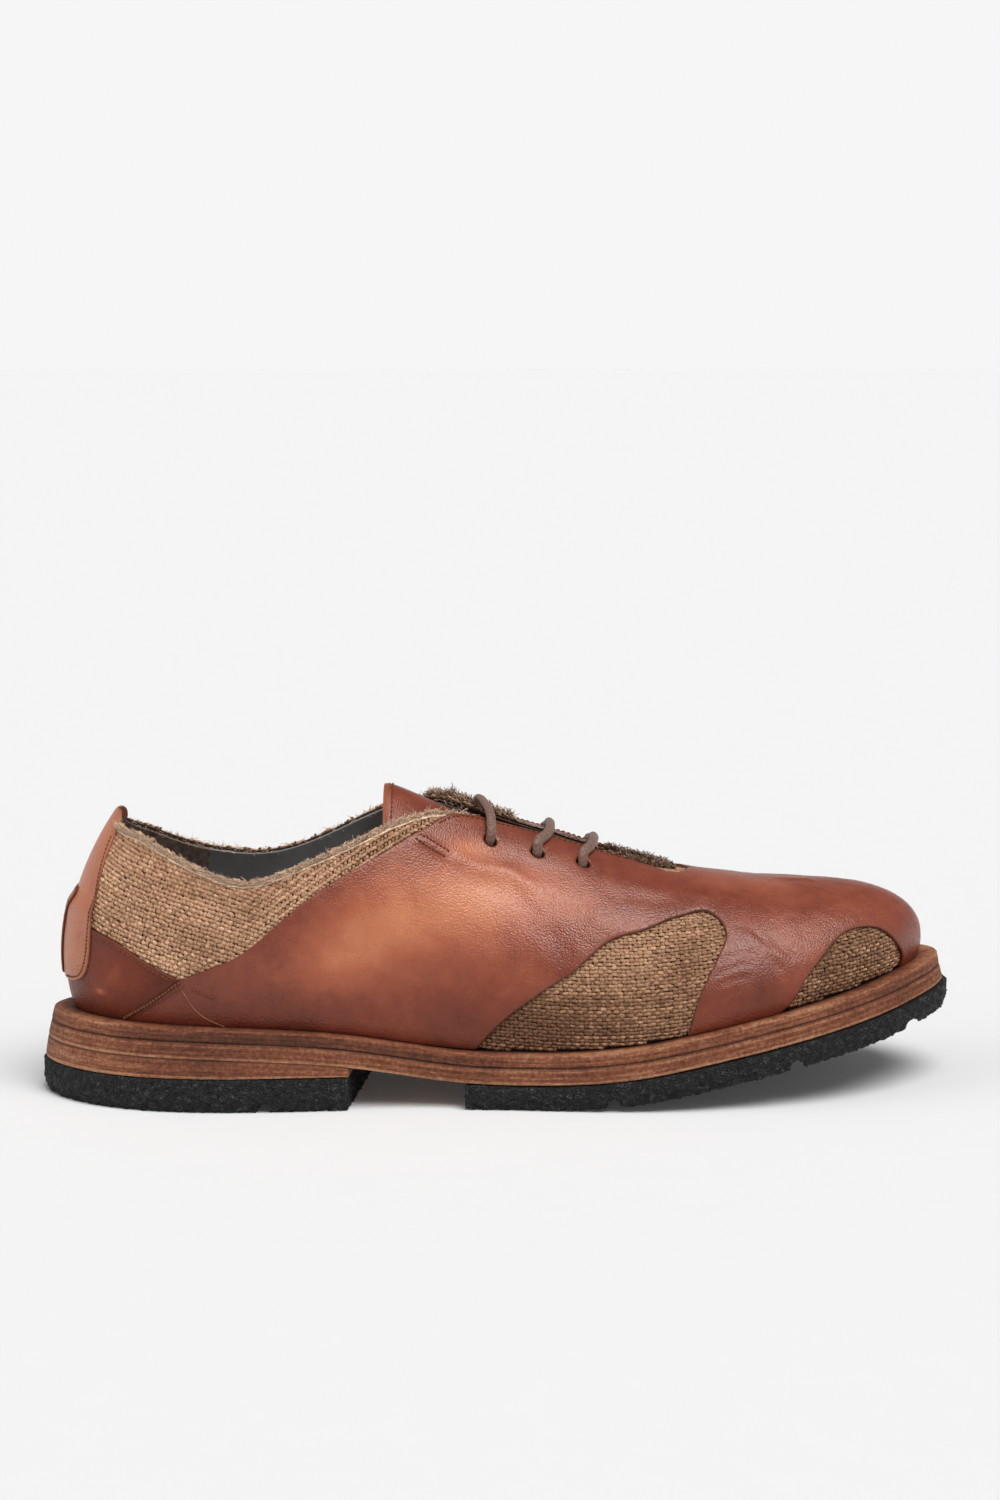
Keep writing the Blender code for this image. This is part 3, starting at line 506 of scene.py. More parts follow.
def flat_sheet(parts, holes, spacing, edge_spacing):
    """Triangles over one side's flat pattern. Parts are cut edges and joins in order round the outline."""
    lines = [resample(points, edge_spacing if cut else spacing, cut) for points, cut in parts]
    loop = np.concatenate([line[:-1] for line in lines])
    rims = [line for line, (_, cut) in zip(lines, parts) if cut]
    rims += [np.vstack([hole, hole[:1]]) for hole in holes]

    def rim_gap(spots):
        return np.min([distance_to(spots, line) for line in rims], axis=0)

    def on_sheet(spots):
        kept = inside(spots, loop)
        for hole in holes:
            kept &= ~inside(spots, hole)
        return kept

    low, high = loop.min(axis=0), loop.max(axis=0)
    rows = np.arange(low[1], high[1], spacing * ROW_STEP)
    grid_x, grid_y = np.meshgrid(np.arange(low[0], high[0], spacing), rows)
    grid_x = grid_x + (np.arange(len(rows)) % 2)[:, None] * spacing / 2
    grid = np.column_stack([grid_x.ravel(), grid_y.ravel()])
    near_rim = []
    for line in rims:
        along = unit(np.gradient(line, axis=0))
        sideways = np.column_stack([-along[:, 1], along[:, 0]])
        for step in (RIM_NEAR, RIM_FAR):
            near_rim += [line + sideways * step, line - sideways * step]
    near_rim = np.concatenate(near_rim)
    near_rim = near_rim[rim_gap(near_rim) > RIM_NEAR * 0.8]
    whole = np.vstack([loop, loop[:1]])
    grid = grid[rim_gap(grid) > RIM_FAR + 0.35 * spacing]
    grid = grid[distance_to(grid, whole) > 0.45 * spacing]
    spots = np.concatenate([near_rim[distance_to(near_rim, whole) > 0.3], grid])
    edges, base = [], 0
    for ring in [loop, *holes]:
        edges += [(base + i, base + (i + 1) % len(ring)) for i in range(len(ring))]
        base += len(ring)
    points = np.concatenate([loop, *holes, spots[on_sheet(spots)]])
    made = geometry.delaunay_2d_cdt([Vector(p) for p in points.tolist()], edges, [], 0, 1e-5)
    points = np.array([tuple(p) for p in made[0]])
    faces = np.array([face for face in made[2] if len(face) == 3])
    return points, faces[on_sheet(points[faces].mean(axis=1))], rim_gap(points)


def sheet(parts, spacing, edge_spacing, under, over, relief=None, edge_drop=0.30, laced=False):
    """Closed sheet over both sides of the upper, joined along the toe, crest and heel lines."""
    flats, gaps, sides, faces, base = [], [], [], [], 0
    for side, _ in SIDES:
        holes = lace_hole_loops(side) if laced else []
        points, triangles, gap = flat_sheet(parts, holes, spacing, edge_spacing)
        flats.append(points / FLAT)
        gaps.append(gap)
        sides.append(np.full(len(points), side))
        faces.append((triangles if side < 0 else triangles[:, ::-1]) + base)
        base += len(points)
    flat, gap, side, faces = (np.concatenate(part) for part in (flats, gaps, sides, faces))
    ring = flat[:, 0] * side
    face = upper_point(ring, flat[:, 1])
    normal = upper_normal(ring, flat[:, 1])
    drop = edge_drop * np.clip(1 - gap / RIM_FAR, 0.0, 1.0) ** 2
    rest = np.zeros(len(face)) if relief is None else relief(side, flat)
    rest = rest * np.clip(gap / RELIEF_FADE, 0.0, 1.0)

    def level(value):
        return value(face[:, 2]) if callable(value) else np.full(len(face), value)

    outer = face + normal * (level(over) - drop + rest)[:, None]
    inner = face + normal * level(under)[:, None]
    keys = {}
    renumber = np.arange(len(face))
    seam = (flat[:, 0] > 1 - 1e-6) | (flat[:, 0] < 1e-6) | (flat[:, 1] > 1 - 1e-6)
    for place in np.flatnonzero(seam):
        renumber[place] = keys.setdefault(tuple(np.round(face[place], 3)), place)
    used, faces = np.unique(renumber[faces], return_inverse=True)
    faces = faces.reshape(-1, 3)
    count = len(used)
    pairs = np.concatenate([faces[:, [0, 1]], faces[:, [1, 2]], faces[:, [2, 0]]]).tolist()
    owned = {(a, b) for a, b in pairs}
    start, stop = np.array([(a, b) for a, b in pairs if (b, a) not in owned]).T
    walls = np.stack([stop, start, start + count, stop, start + count, stop + count], axis=-1).reshape(-1, 3)
    faces = np.concatenate([faces, faces[:, ::-1] + count, walls])
    points = np.concatenate([outer[used], inner[used]])
    return points, outward_faces(points, faces), flat[used], side[used], gap[used]


# Shader helpers


def add(tree, kind, inputs=None, **settings):
    """Shader node whose inputs are constants or outputs of other nodes."""
    node = tree.nodes.new(kind)
    for key, value in settings.items():
        setattr(node, key, value)
    for key, value in (inputs or {}).items():
        if isinstance(value, bpy.types.NodeSocket):
            tree.links.new(value, node.inputs[key])
        else:
            node.inputs[key].default_value = value
    return node


def start_material(name, **constants):
    material = bpy.data.materials.new(name)
    material.use_nodes = True
    shader = material.node_tree.nodes["Principled BSDF"]
    for key, value in constants.items():
        shader.inputs[key.replace("_", " ")].default_value = value
    return material, material.node_tree, shader


def feed(shader, **sources):
    """Links node outputs to the shader's inputs."""
    for key, source in sources.items():
        shader.id_data.links.new(source, shader.inputs[key.replace("_", " ")])


def mix(tree, factor, first, second, blend="MIX"):
    inputs = {0: factor, 6: first, 7: second}
    return add(tree, "ShaderNodeMix", inputs, data_type="RGBA", blend_type=blend).outputs[2]


def calc(tree, operation, first, second, clamp=False):
    inputs = {0: first, 1: second}
    return add(tree, "ShaderNodeMath", inputs, operation=operation, use_clamp=clamp).outputs[0]


def plus(tree, first, second, clamp=False):
    return calc(tree, "ADD", first, second, clamp)


def times(tree, first, second, clamp=False):
    return calc(tree, "MULTIPLY", first, second, clamp)


def minus(tree, first, second):
    return calc(tree, "SUBTRACT", first, second)


def swing(tree, value, size):
    """Noise value turned into a change up or down."""
    return times(tree, minus(tree, value, 0.5), size)


def ramp(tree, factor, stops):
    node = add(tree, "ShaderNodeValToRGB", {"Fac": factor})
    elements = node.color_ramp.elements
    while len(elements) < len(stops):
        elements.new(0.5)
    for element, (place, color) in zip(elements, stops):
        element.position = place
        element.color = (*color, 1.0)
    return node.outputs["Color"]


def value_range(tree, value, low, high, to_low, to_high, kind="LINEAR"):
    inputs = {"Value": value, "From Min": low, "From Max": high, "To Min": to_low, "To Max": to_high}
    return add(tree, "ShaderNodeMapRange", inputs, interpolation_type=kind).outputs[0]


def noise_value(tree, vector, scale, detail=4.0, roughness=0.55, distortion=0.0):
    inputs = {"Vector": vector, "Scale": scale, "Detail": detail, "Roughness": roughness}
    inputs["Distortion"] = distortion
    return add(tree, "ShaderNodeTexNoise", inputs).outputs[0]


def cells(tree, place, scale, feature):
    inputs = {"Vector": place, "Scale": scale}
    return add(tree, "ShaderNodeTexVoronoi", inputs, feature=feature).outputs["Distance"]


def bump(tree, height, strength, distance, normal=None):
    inputs = {"Height": height, "Strength": strength, "Distance": distance}
    if normal is not None:
        inputs["Normal"] = normal
    return add(tree, "ShaderNodeBump", inputs).outputs[0]


def object_place(tree):
    return add(tree, "ShaderNodeTexCoord").outputs["Object"]


def tint_color(tree):
    return add(tree, "ShaderNodeAttribute", attribute_name="tint").outputs["Color"]


def tint_channels(tree):
    return add(tree, "ShaderNodeSeparateColor", {"Color": tint_color(tree)}).outputs


def flow_noise(tree, stretch, detail, roughness, distortion=0.0):
    """Noise drawn out along the flow of a strand or an edge."""
    flow = add(tree, "ShaderNodeAttribute", attribute_name="flow").outputs["Vector"]
    place = add(tree, "ShaderNodeVectorMath", {0: flow, 1: stretch}, operation="MULTIPLY").outputs[0]
    return noise_value(tree, place, 1.0, detail, roughness, distortion)


def leather_material(name, stops, gloss=0.31):
    """Grained aniline leather: tan where worn and at one painted highlight, dark along edges (partly their
    own colour, partly painted shade), creased grain painted darker in its furrows as shade.
    """
    material, tree, shader = start_material(name, Specular_Tint=(1.0, 0.86, 0.79, 1.0))
    place = object_place(tree)
    tone, edge, polish = tint_channels(tree)
    cloud = noise_value(tree, place, 38.0, 5.0, 0.6)
    mottle = noise_value(tree, place, 160.0, 4.0, 0.65)
    worn = plus(tree, plus(tree, tone, swing(tree, cloud, 0.46)), swing(tree, mottle, 0.32), True)
    edge = times(tree, edge, value_range(tree, mottle, 0.25, 0.75, 0.6, 1.1), True)
    # edge darkening: partly the cut edges' own colour, partly painted shade
    color = mix(tree, edge, ramp(tree, worn, stops), (0.030, 0.011, 0.006, 1.0))
    furrow = value_range(tree, cells(tree, place, 1450.0, "DISTANCE_TO_EDGE"), 0.0, 0.16, 1.0, 0.0)
    # grain furrows painted darker: painted shade in the grain's recesses
    color = mix(tree, times(tree, furrow, 0.10), color, (0.05, 0.017, 0.009, 1.0))
    rough = value_range(tree, cloud, 0.3, 0.7, gloss - 0.05, gloss + 0.07)
    rough = plus(tree, rough, swing(tree, mottle, 0.16))
    normal = bump(tree, noise_value(tree, place, 260.0, 3.0, 0.55, 0.2), 0.07, 0.0010)
    normal = bump(tree, minus(tree, 1.0, cells(tree, place, 1600.0, "F1")), 0.30, 0.0005, normal)
    normal = bump(tree, minus(tree, 1.0, furrow), 0.08, 0.0003, normal)
    feed(shader, Base_Color=color, Roughness=rough, Specular_IOR_Level=polish, Normal=normal)
    return material


def yarn_material(name, rough=0.85, **finish):
    """Jute yarn: colour of each strand, fibres running along it."""
    material, tree, shader = start_material(name, Roughness=rough, Specular_IOR_Level=0.2, **finish)
    fibre = flow_noise(tree, (1.1, 5.0, 5.0), 5.0, 0.75, 0.6)
    shade = value_range(tree, fibre, 0.30, 0.70, 0.45, 1.45)
    shade = add(tree, "ShaderNodeCombineColor", {0: shade, 1: shade, 2: shade}).outputs[0]
    color = mix(tree, 1.0, tint_color(tree), shade, "MULTIPLY")
    feed(shader, Base_Color=color, Normal=bump(tree, fibre, 0.9, 0.0006))
    return material


def cloth_base_material():
    """Shadowed ground between the yarns."""
    material, tree, shader = start_material("burlap_ground", Roughness=0.95)
    speck = noise_value(tree, object_place(tree), 900.0, 3.0)
    color = ramp(tree, speck, ((0.3, (0.022, 0.012, 0.007)), (0.7, (0.075, 0.042, 0.023))))
    feed(shader, Base_Color=color, Normal=bump(tree, speck, 0.5, 0.0006))
    return material


def lining_material(name, low, high, scale, rough, strength):
    """Clouded leather or suede between two colours."""
    material, tree, shader = start_material(name)
    place = object_place(tree)
    cloud = noise_value(tree, place, scale, 6.0, 0.65)
    fine = noise_value(tree, place, scale * 14, 3.0, 0.6)
    color = ramp(tree, cloud, ((0.3, low), (0.72, high)))
    rough = value_range(tree, cloud, 0.3, 0.7, rough - 0.06, rough + 0.06)
    feed(shader, Base_Color=color, Roughness=rough, Normal=bump(tree, fine, strength, 0.0006))
    return material


def sole_material():
    """Stacked leather edge: streaks along the edge, pale scuffs, dark joints between the layers, and painted
    shade where the welt runs in under the upper.
    """
    material, tree, shader = start_material("stacked_leather", Specular_IOR_Level=0.22)
    place = object_place(tree)
    tone, dark_joint_and_shade, _ = tint_channels(tree)
    streak = flow_noise(tree, (0.085, 1.25, 1.0), 8.0, 0.74, 0.9)
    fine = flow_noise(tree, (0.10, 7.0, 1.0), 5.0, 0.7)
    cloud = noise_value(tree, place, 30.0)
    pit = noise_value(tree, place, 850.0, 4.0, 0.75)
    for value, size in ((streak, 0.78), (pit, 0.85), (fine, 0.42), (cloud, 0.55)):
        tone = plus(tree, tone, swing(tree, value, size))
    color = ramp(tree, tone, (
        (0.12, (0.026, 0.010, 0.005)),
        (0.42, (0.118, 0.036, 0.017)),
        (0.62, (0.228, 0.077, 0.037)),
        (0.95, (0.480, 0.250, 0.130)),
    ))
    # dark joints between the layers, and painted shade at the welt's foot under the upper
    color = mix(tree, dark_joint_and_shade, color, (0.018, 0.008, 0.005, 1.0))
    normal = bump(tree, fine, 0.40, 0.0006, bump(tree, streak, 0.55, 0.0012))
    normal = bump(tree, pit, 0.35, 0.0008, normal)
    feed(shader, Base_Color=color, Roughness=value_range(tree, streak, 0.3, 0.7, 0.70, 0.56), Normal=normal)
    return material


def rubber_material():
    """Crepe rubber: open foam, its pits painted black as shade, paler cell walls, and pale specks that are
    painted glints.
    """
    material, tree, shader = start_material("crepe_rubber", Roughness=0.60, Specular_IOR_Level=0.35)
    place = object_place(tree)
    # pits of the foam painted black: painted shade in its hollows
    wall = value_range(tree, cells(tree, place, 1050.0, "DISTANCE_TO_EDGE"), 0.02, 0.30, 1.0, 0.0)
    patchy = value_range(tree, noise_value(tree, place, 500.0, 3.0, 0.6), 0.42, 0.62, 0.10, 1.0)
    small = cells(tree, place, 2200.0, "F1")
    # pale specks at the centres of fine cells: painted glints
    speck = value_range(tree, small, 0.15, 0.75, 1.15, 0.25)
    color = ramp(tree, times(tree, times(tree, wall, patchy), speck, True), (
        (0.05, (0.003, 0.003, 0.003)),
        (0.40, (0.014, 0.014, 0.014)),
        (0.75, (0.075, 0.074, 0.073)),
        (1.00, (0.130, 0.128, 0.125)),
    ))
    normal = bump(tree, small, 0.5, 0.0008, bump(tree, wall, 0.8, 0.0010))
    feed(shader, Base_Color=color, Normal=normal)
    return material


def lace_material():
    """Waxed cotton lace: tight slanting plies."""
    material, tree, shader = start_material("waxed_lace", Roughness=0.55, Sheen_Weight=0.15)
    flow = add(tree, "ShaderNodeAttribute", attribute_name="flow").outputs["Vector"]
    inputs = {"Vector": flow, "Scale": 0.42, "Distortion": 1.2, "Detail": 3.0}
    ply = add(tree, "ShaderNodeTexWave", inputs, wave_type="BANDS", bands_direction="DIAGONAL")
    fibre = flow_noise(tree, (1.2, 3.5, 1.0), 4.0, 0.7)
    tone = plus(tree, times(tree, ply.outputs["Fac"], 0.15), times(tree, fibre, 0.85))
    color = ramp(tree, tone, (
        (0.25, (0.045, 0.019, 0.012)),
        (0.50, (0.150, 0.072, 0.048)),
        (0.78, (0.310, 0.170, 0.120)),
    ))
    feed(shader, Base_Color=color, Normal=bump(tree, tone, 0.45, 0.0005))
    return material


LEATHER_LOOK = leather_material("cognac_leather", (
    (0.0, (0.066, 0.015, 0.008)),
    (0.30, (0.176, 0.034, 0.017)),
    (0.62, (0.340, 0.086, 0.038)),
    (1.0, (0.525, 0.188, 0.084)),
))
YARN_LOOK = yarn_material("jute_yarn")
FLUFF_LOOK = yarn_material("jute_fluff", Sheen_Weight=0.45, Sheen_Tint=(1.0, 0.74, 0.55, 1.0))
GROUND_LOOK = cloth_base_material()
LINING_LOOK = lining_material("dark_lining", (0.150, 0.141, 0.140), (0.235, 0.222, 0.220), 60.0, 0.32, 0.10)
SUEDE_LOOK = lining_material("heel_suede", (0.065, 0.041, 0.032), (0.290, 0.195, 0.150), 420.0, 0.92, 0.7)
INSOLE_LOOK = lining_material("insole_leather", (0.030, 0.026, 0.023), (0.060, 0.052, 0.046), 50.0, 0.55, 0.2)
SOLE_LOOK = sole_material()
RUBBER_LOOK = rubber_material()
LACE_LOOK = lace_material()
THREAD_LOOK = yarn_material("sewing_thread", 0.6)

# Leather overlays

# Soft folds of the leather: side (0 for both), height, half width, line of (share, rise)
FOLDS = (
    (0, 0.95, 1.9, ((0.422, 0.89), (0.436, 0.83), (0.446, 0.79), (0.456, 0.755))),
    (-1, 0.8, 3.4, (
        (0.446, 0.8), (0.468, 0.733), (0.495, 0.704), (0.509, 0.7), (0.519, 0.671), (0.546, 0.62))),
    (-1, -0.5, 4.6, ((0.455, 0.85), (0.485, 0.785), (0.515, 0.768), (0.54, 0.735), (0.575, 0.735))),
    (-1, -0.6, 5.2, ((0.455, 0.68), (0.48, 0.64), (0.505, 0.615), (0.53, 0.58))),
    (-1, 1.1, 6.0, ((0.604, 0.63), (0.592, 0.54), (0.586, 0.45), (0.58, 0.4))),
    (-1, -0.9, 6.0, ((0.535, 0.56), (0.538, 0.49), (0.542, 0.42), (0.535, 0.35))),
    (-1, 0.35, 5.0, ((0.585, 0.745), (0.612, 0.752), (0.64, 0.722), (0.672, 0.7))),
    (-1, -0.26, 3.0, ((0.585, 0.668), (0.609, 0.662), (0.63, 0.65), (0.668, 0.658))),
    (-1, -0.42, 1.4, ((0.75, 0.455), (0.762, 0.371), (0.78, 0.27))),
    (-1, 0.4, 2.6, ((0.74, 0.44), (0.752, 0.35), (0.766, 0.25))),
    (-1, -0.38, 1.4, ((0.752, 0.33), (0.756, 0.27), (0.76, 0.215))),
    (-1, -0.4, 1.5, ((0.733, 0.49), (0.747, 0.405), (0.757, 0.33))),
    (-1, 0.45, 3.0, ((0.72, 0.5), (0.733, 0.43), (0.742, 0.36))),
    (-1, -0.32, 1.2, ((0.688, 0.262), (0.708, 0.287), (0.73, 0.304))),
    (-1, -0.3, 1.2, ((0.69, 0.15), (0.704, 0.165), (0.718, 0.175))),
    (-1, -0.32, 1.2, ((0.692, 0.205), (0.708, 0.228), (0.728, 0.236))),
    (-1, -0.28, 1.2, ((0.702, 0.335), (0.72, 0.35), (0.738, 0.352))),
    (-1, 0.35, 2.6, ((0.805, 0.95), (0.845, 0.965), (0.89, 0.925))),
    (-1, -0.3, 2.2, ((0.815, 0.905), (0.85, 0.915), (0.88, 0.88))),
    (-1, 0.55, 9.0, ((0.33, 0.64), (0.38, 0.62), (0.42, 0.56))),
    (-1, -0.55, 8.0, ((0.3, 0.5), (0.345, 0.48), (0.39, 0.4))),
    (-1, 0.5, 8.0, ((0.4, 0.38), (0.45, 0.33), (0.48, 0.24))),
    (1, 0.85, 3.6, ((0.45, 0.79), (0.475, 0.725), (0.505, 0.7), (0.535, 0.65), (0.565, 0.62))),
    (1, -0.55, 4.2, ((0.46, 0.85), (0.49, 0.78), (0.525, 0.76), (0.575, 0.735))),
    (1, -0.8, 5.0, ((0.47, 0.65), (0.505, 0.605), (0.535, 0.56))),
    (1, 0.9, 6.0, ((0.61, 0.64), (0.6, 0.54), (0.59, 0.44))),
    (1, -0.35, 2.8, ((0.6, 0.68), (0.635, 0.655), (0.675, 0.66))),
    (1, 0.6, 4.0, ((0.6, 0.75), (0.635, 0.735), (0.675, 0.705))),
    (1, -0.45, 1.6, ((0.738, 0.47), (0.752, 0.38), (0.768, 0.28))),
    (1, 0.4, 2.8, ((0.726, 0.46), (0.74, 0.37), (0.754, 0.27))),
    (1, -0.3, 1.3, ((0.69, 0.22), (0.71, 0.24), (0.73, 0.245))),
    (1, 0.5, 9.0, ((0.33, 0.62), (0.38, 0.6), (0.42, 0.54))),
)
# Worn tan patches, and one painted highlight: side (0 for both), share, rise, half length, half height
# (shares), strength
WORN_AND_HIGHLIGHT = (
    (-1, 0.375, 0.56, 0.05, 0.22, 0.35), (-1, 0.455, 0.56, 0.06, 0.16, 0.48),
    # The first patch on the next line is a painted highlight just below and behind the first lace hole
    (-1, 0.474, 0.795, 0.022, 0.05, 0.38), (-1, 0.52, 0.64, 0.06, 0.11, 0.3),
    (-1, 0.33, 0.42, 0.05, 0.15, 0.2), (-1, 0.76, 0.84, 0.07, 0.15, 0.16),
    (-1, 0.105, 0.23, 0.035, 0.13, 0.18), (-1, 0.095, 0.15, 0.006, 0.012, 0.6),
    (1, 0.4, 0.56, 0.07, 0.22, 0.38), (1, 0.52, 0.62, 0.07, 0.14, 0.28),
    (1, 0.82, 0.78, 0.09, 0.18, 0.12),
)
# Darker patches, low on the wall towards the sole, in the same columns
LOW_DARK_PATCHES = (
    (-1, 0.26, 0.12, 0.12, 0.17, 0.12), (-1, 0.44, 0.1, 0.08, 0.16, 0.12),
    (0, 0.72, 0.2, 0.05, 0.25, 0.14), (-1, 0.96, 0.25, 0.05, 0.3, 0.02),
    (1, 0.28, 0.12, 0.12, 0.17, 0.16), (1, 0.96, 0.25, 0.05, 0.3, 0.1),
)
LEATHER_TONE = 0.34
LEATHER_GLOSS = 0.62
# Gentle unevenness all over: height, waves in a millimetre, seed
UNEVEN = ((0.22, 0.06, 5.0), (0.07, 0.2, 9.0))
MIDDLE_FADE = 6.0
FOLD_END = 2.5


def on_side(side, at_side):
    return (side == at_side) | (at_side == 0)


def patches(table, side, flat):
    total = np.zeros(len(flat))
    for at_side, share, rise, length, height, strength in table:
        reach = ((flat[:, 0] - share) / length) ** 2 + ((flat[:, 1] - rise) / height) ** 2
        total += np.where(on_side(side, at_side), strength * np.exp(-reach), 0.0)
    return total


def middle_calm(flat):
    """Falls to nothing along the heel, toe and crest lines, where both sides meet."""
    share, rise = flat.T
    near = np.minimum(share, 1 - share) * FLAT[0]
    crest = np.where(share > THROAT_END, (1 - rise) * FLAT[1], MIDDLE_FADE)
    return smooth_step(np.minimum(near, crest) / MIDDLE_FADE)


def leather_relief(side, flat):
    """Folds pressed into the leather by wear, with fading ends, and a slight unevenness all over."""
    height = np.zeros(len(flat))
    spots = flat * FLAT
    for at_side, tall, half, line in FOLDS:
        chosen = np.flatnonzero(on_side(side, at_side))
        path = resample(line, 1.5)
        ends = np.min([np.linalg.norm(spots[chosen] - path[end], axis=1) for end in (0, -1)], axis=0)
        fade = np.clip(ends / (FOLD_END * half), 0.0, 1.0)
        height[chosen] += tall * fade * hump(distance_to(spots[chosen], path), half)
    for tall, scale, seed in UNEVEN:
        height += tall * noise_over(spots, scale, side * seed)
    return height * middle_calm(flat)


def add_leather(node, made, tone=LEATHER_TONE, gloss=LEATHER_GLOSS, under_dark=0.9):
    """Leather piece in place of its node: worn tone with one painted highlight, dark edges that are partly
    painted shade, and gloss for each point.
    """
    points, faces, flat, side, gap = made
    # tone raised by worn patches and by one painted highlight
    worn = tone + patches(WORN_AND_HIGHLIGHT, side, flat) - patches(LOW_DARK_PATCHES, side, flat)
    # thin dark line at each cut edge, partly its own colour and partly painted shade; broad burnished
    # darkening further in
    dark = 0.55 * hump(gap, 0.35) + 0.12 * hump(gap, 6.0)
    polish = gloss * (0.62 + 0.38 * np.clip((flat[:, 1] - 0.10) / 0.35, 0.0, 1.0))
    tint = np.column_stack([np.clip(worn, 0, 1), np.clip(dark, 0, 1), polish])
    under = tint.copy()
    # underside painted dark; it shows on the cut edges as their dark line, partly painted shade
    under[:, 1] = under_dark
    tint = np.vstack([tint, under])
    return add_piece(f"leather_{node}", points, faces, LEATHER_LOOK, "brown_leather", (node,), tint)


def patch_parts(outline):
    """Outline of a patch that runs on over the heel line."""
    return rim(*outline), join(outline[-1], outline[0])


def wall_parts(*top):
    """Outline of the whole side below a top edge that runs from the throat's end to the heel."""
    return (
        rim((0.0, 0.0), (1.0, 0.0)),
        join((1.0, 0.0), (1.0, 1.0)),
        join((1.0, 1.0), (THROAT_END, 1.0)),
        rim(*top),
        join(top[-1], (0.0, 0.0)),
    )


VAMP_PARTS = (
    rim((0.124, 0.0), (0.465, 0.0)),
    rim(*BALL_WINDOW),
    rim((0.665, 0.0), (0.758, 0.0)),
    rim(*TOE_WINDOW),
    rim((0.931, 0.0), (1.0, 0.0)),
    join((1.0, 0.0), (1.0, 1.0)),
    join((1.0, 1.0), (0.69, 1.0)),
    rim(*FACING_EDGE[::-1]),
    rim(*SLANT_SEAM[::-1]),
)
COUNTER_PARTS = (
    rim((0.0, 0.0), (0.122, 0.0)),
    rim(*COUNTER_FRONT[::-1]),
    rim(*COUNTER_TOP[::-1]),
    join((0.0, 0.49), (0.0, 0.0)),
)
OVERLAY_UNDER = 0.1
STRIP_UNDER = 0.12
STRIP_RISE = 1.43
STRIP_THICK = 0.75
VAMP_SHARP = 62.0


def strip_step(height):
    """Height of the heel strip's underside over the upper: up and over the counter's top edge."""
    part = (STRIP_STEP_HIGH - height) / (STRIP_STEP_HIGH - STRIP_STEP_LOW)
    return STRIP_UNDER + STRIP_RISE * smooth_step(part)


def strip_over(height):
    return strip_step(height) + STRIP_THICK


def tab_over(height):
    return strip_over(height) + STRIP_THICK


def make_leather():
    vamp = sheet(VAMP_PARTS, 1.4, 1.0, OVERLAY_UNDER, OVER, leather_relief, laced=True)
    smooth_by_angle(add_leather("vamp", vamp), VAMP_SHARP)
    counter = sheet(COUNTER_PARTS, 1.4, 1.1, OVERLAY_UNDER, OVER, leather_relief)
    add_leather("counter", counter, tone=0.19, gloss=0.26)
    strip = sheet(patch_parts(STRIP_OUTLINE), 1.3, 0.9, strip_step, strip_over, leather_relief)
    add_leather("heel_strip", strip, tone=0.80, under_dark=0.35)
    tab = sheet(patch_parts(TAB_OUTLINE), 0.9, 0.6, strip_over, tab_over, edge_drop=0.35)
    add_leather("heel_tab", tab, tone=0.44, gloss=0.25)


# Burlap

YARN_WIDE = 0.495
YARN_HIGH = 0.30
WEFT_REACH = 0.95
WARP_REACH = 0.74
WARP_WIDE = 0.92
WARP_DROP = 0.10
# Stations along one yarn between two crossings: place, lift, thickness, brightness; the dimmer ends are
# painted shade where the yarn dips under its neighbours
YARN_STATIONS = (
    (-1.0, -0.62, 0.55, 0.42),
    (-0.42, 0.06, 0.98, 1.0),
    (0.42, 0.06, 0.98, 1.0),
    (1.0, -0.62, 0.55, 0.42),
)
WEAVE_ROWS = 260
YARN_COUNT = 400
# Cloth of the quarter and the windows: shade, pitch along and up, slope of the weft
WEAVES = {
    "quarter": (0.0, (1.30, 1.37), 0.28),
    "windows": (0.16, (1.50, 1.18), 0.08),
}
FUZZ_PITCH = (1.5, 1.5)
FUZZ_SLOPE = 0.2
FUZZ_PER_CELL = 0.6
WINDOW_TUCK = 1.6
QUARTER_CLOTH = (
    (0.04, 0.44), (0.079, 0.44), (0.107, 0.42), (0.148, 0.35), (0.19, 0.27), (0.239, 0.45), (0.271, 0.59),
    (0.312, 0.73), (0.357, 0.81), (0.39, 0.83), (0.424, 0.865), (0.444, 0.895), (0.458, 0.94),
    (0.478, 0.97), (0.495, 0.985), (0.495, 1.0), (0.04, 1.0),
)
# Cloth left open at the end of the throat
THROAT_CLOTH = (
    (0.585, 1.0), (0.598, 0.974), (0.62, 0.966), (0.64, 0.934), (0.652, 0.902), (0.664, 0.866),
    (0.679, 0.886), (0.688, 0.94), (0.695, 1.0),
)
# Colours of the jute, lightest first
JUTE = np.array([(0.82, 0.49, 0.3), (0.62, 0.35, 0.206), (0.42, 0.222, 0.125), (0.22, 0.105, 0.056)])
# Dark patina on the cloth: side (0 for both), share, rise, half length, half height, strength
CLOTH_STAIN = (
    (0, 0.56, 0.12, 0.09, 0.14, 0.45), (0, 0.66, 0.25, 0.03, 0.3, 0.3), (-1, 0.5, 0.06, 0.05, 0.12, 0.45),
    (0, 0.845, 0.15, 0.09, 0.28, 0.5), (-1, 0.23, 0.42, 0.04, 0.12, 0.2),
)


def meridian_rises(ring, heights):
    """Rises that lie at the given distances up the wall."""
    rises = np.linspace(0.0, 1.0, 80)
    run = run_along(upper_point(np.full(len(rises), ring), rises))
    return np.interp(heights[heights < run[-1]], run, rises)


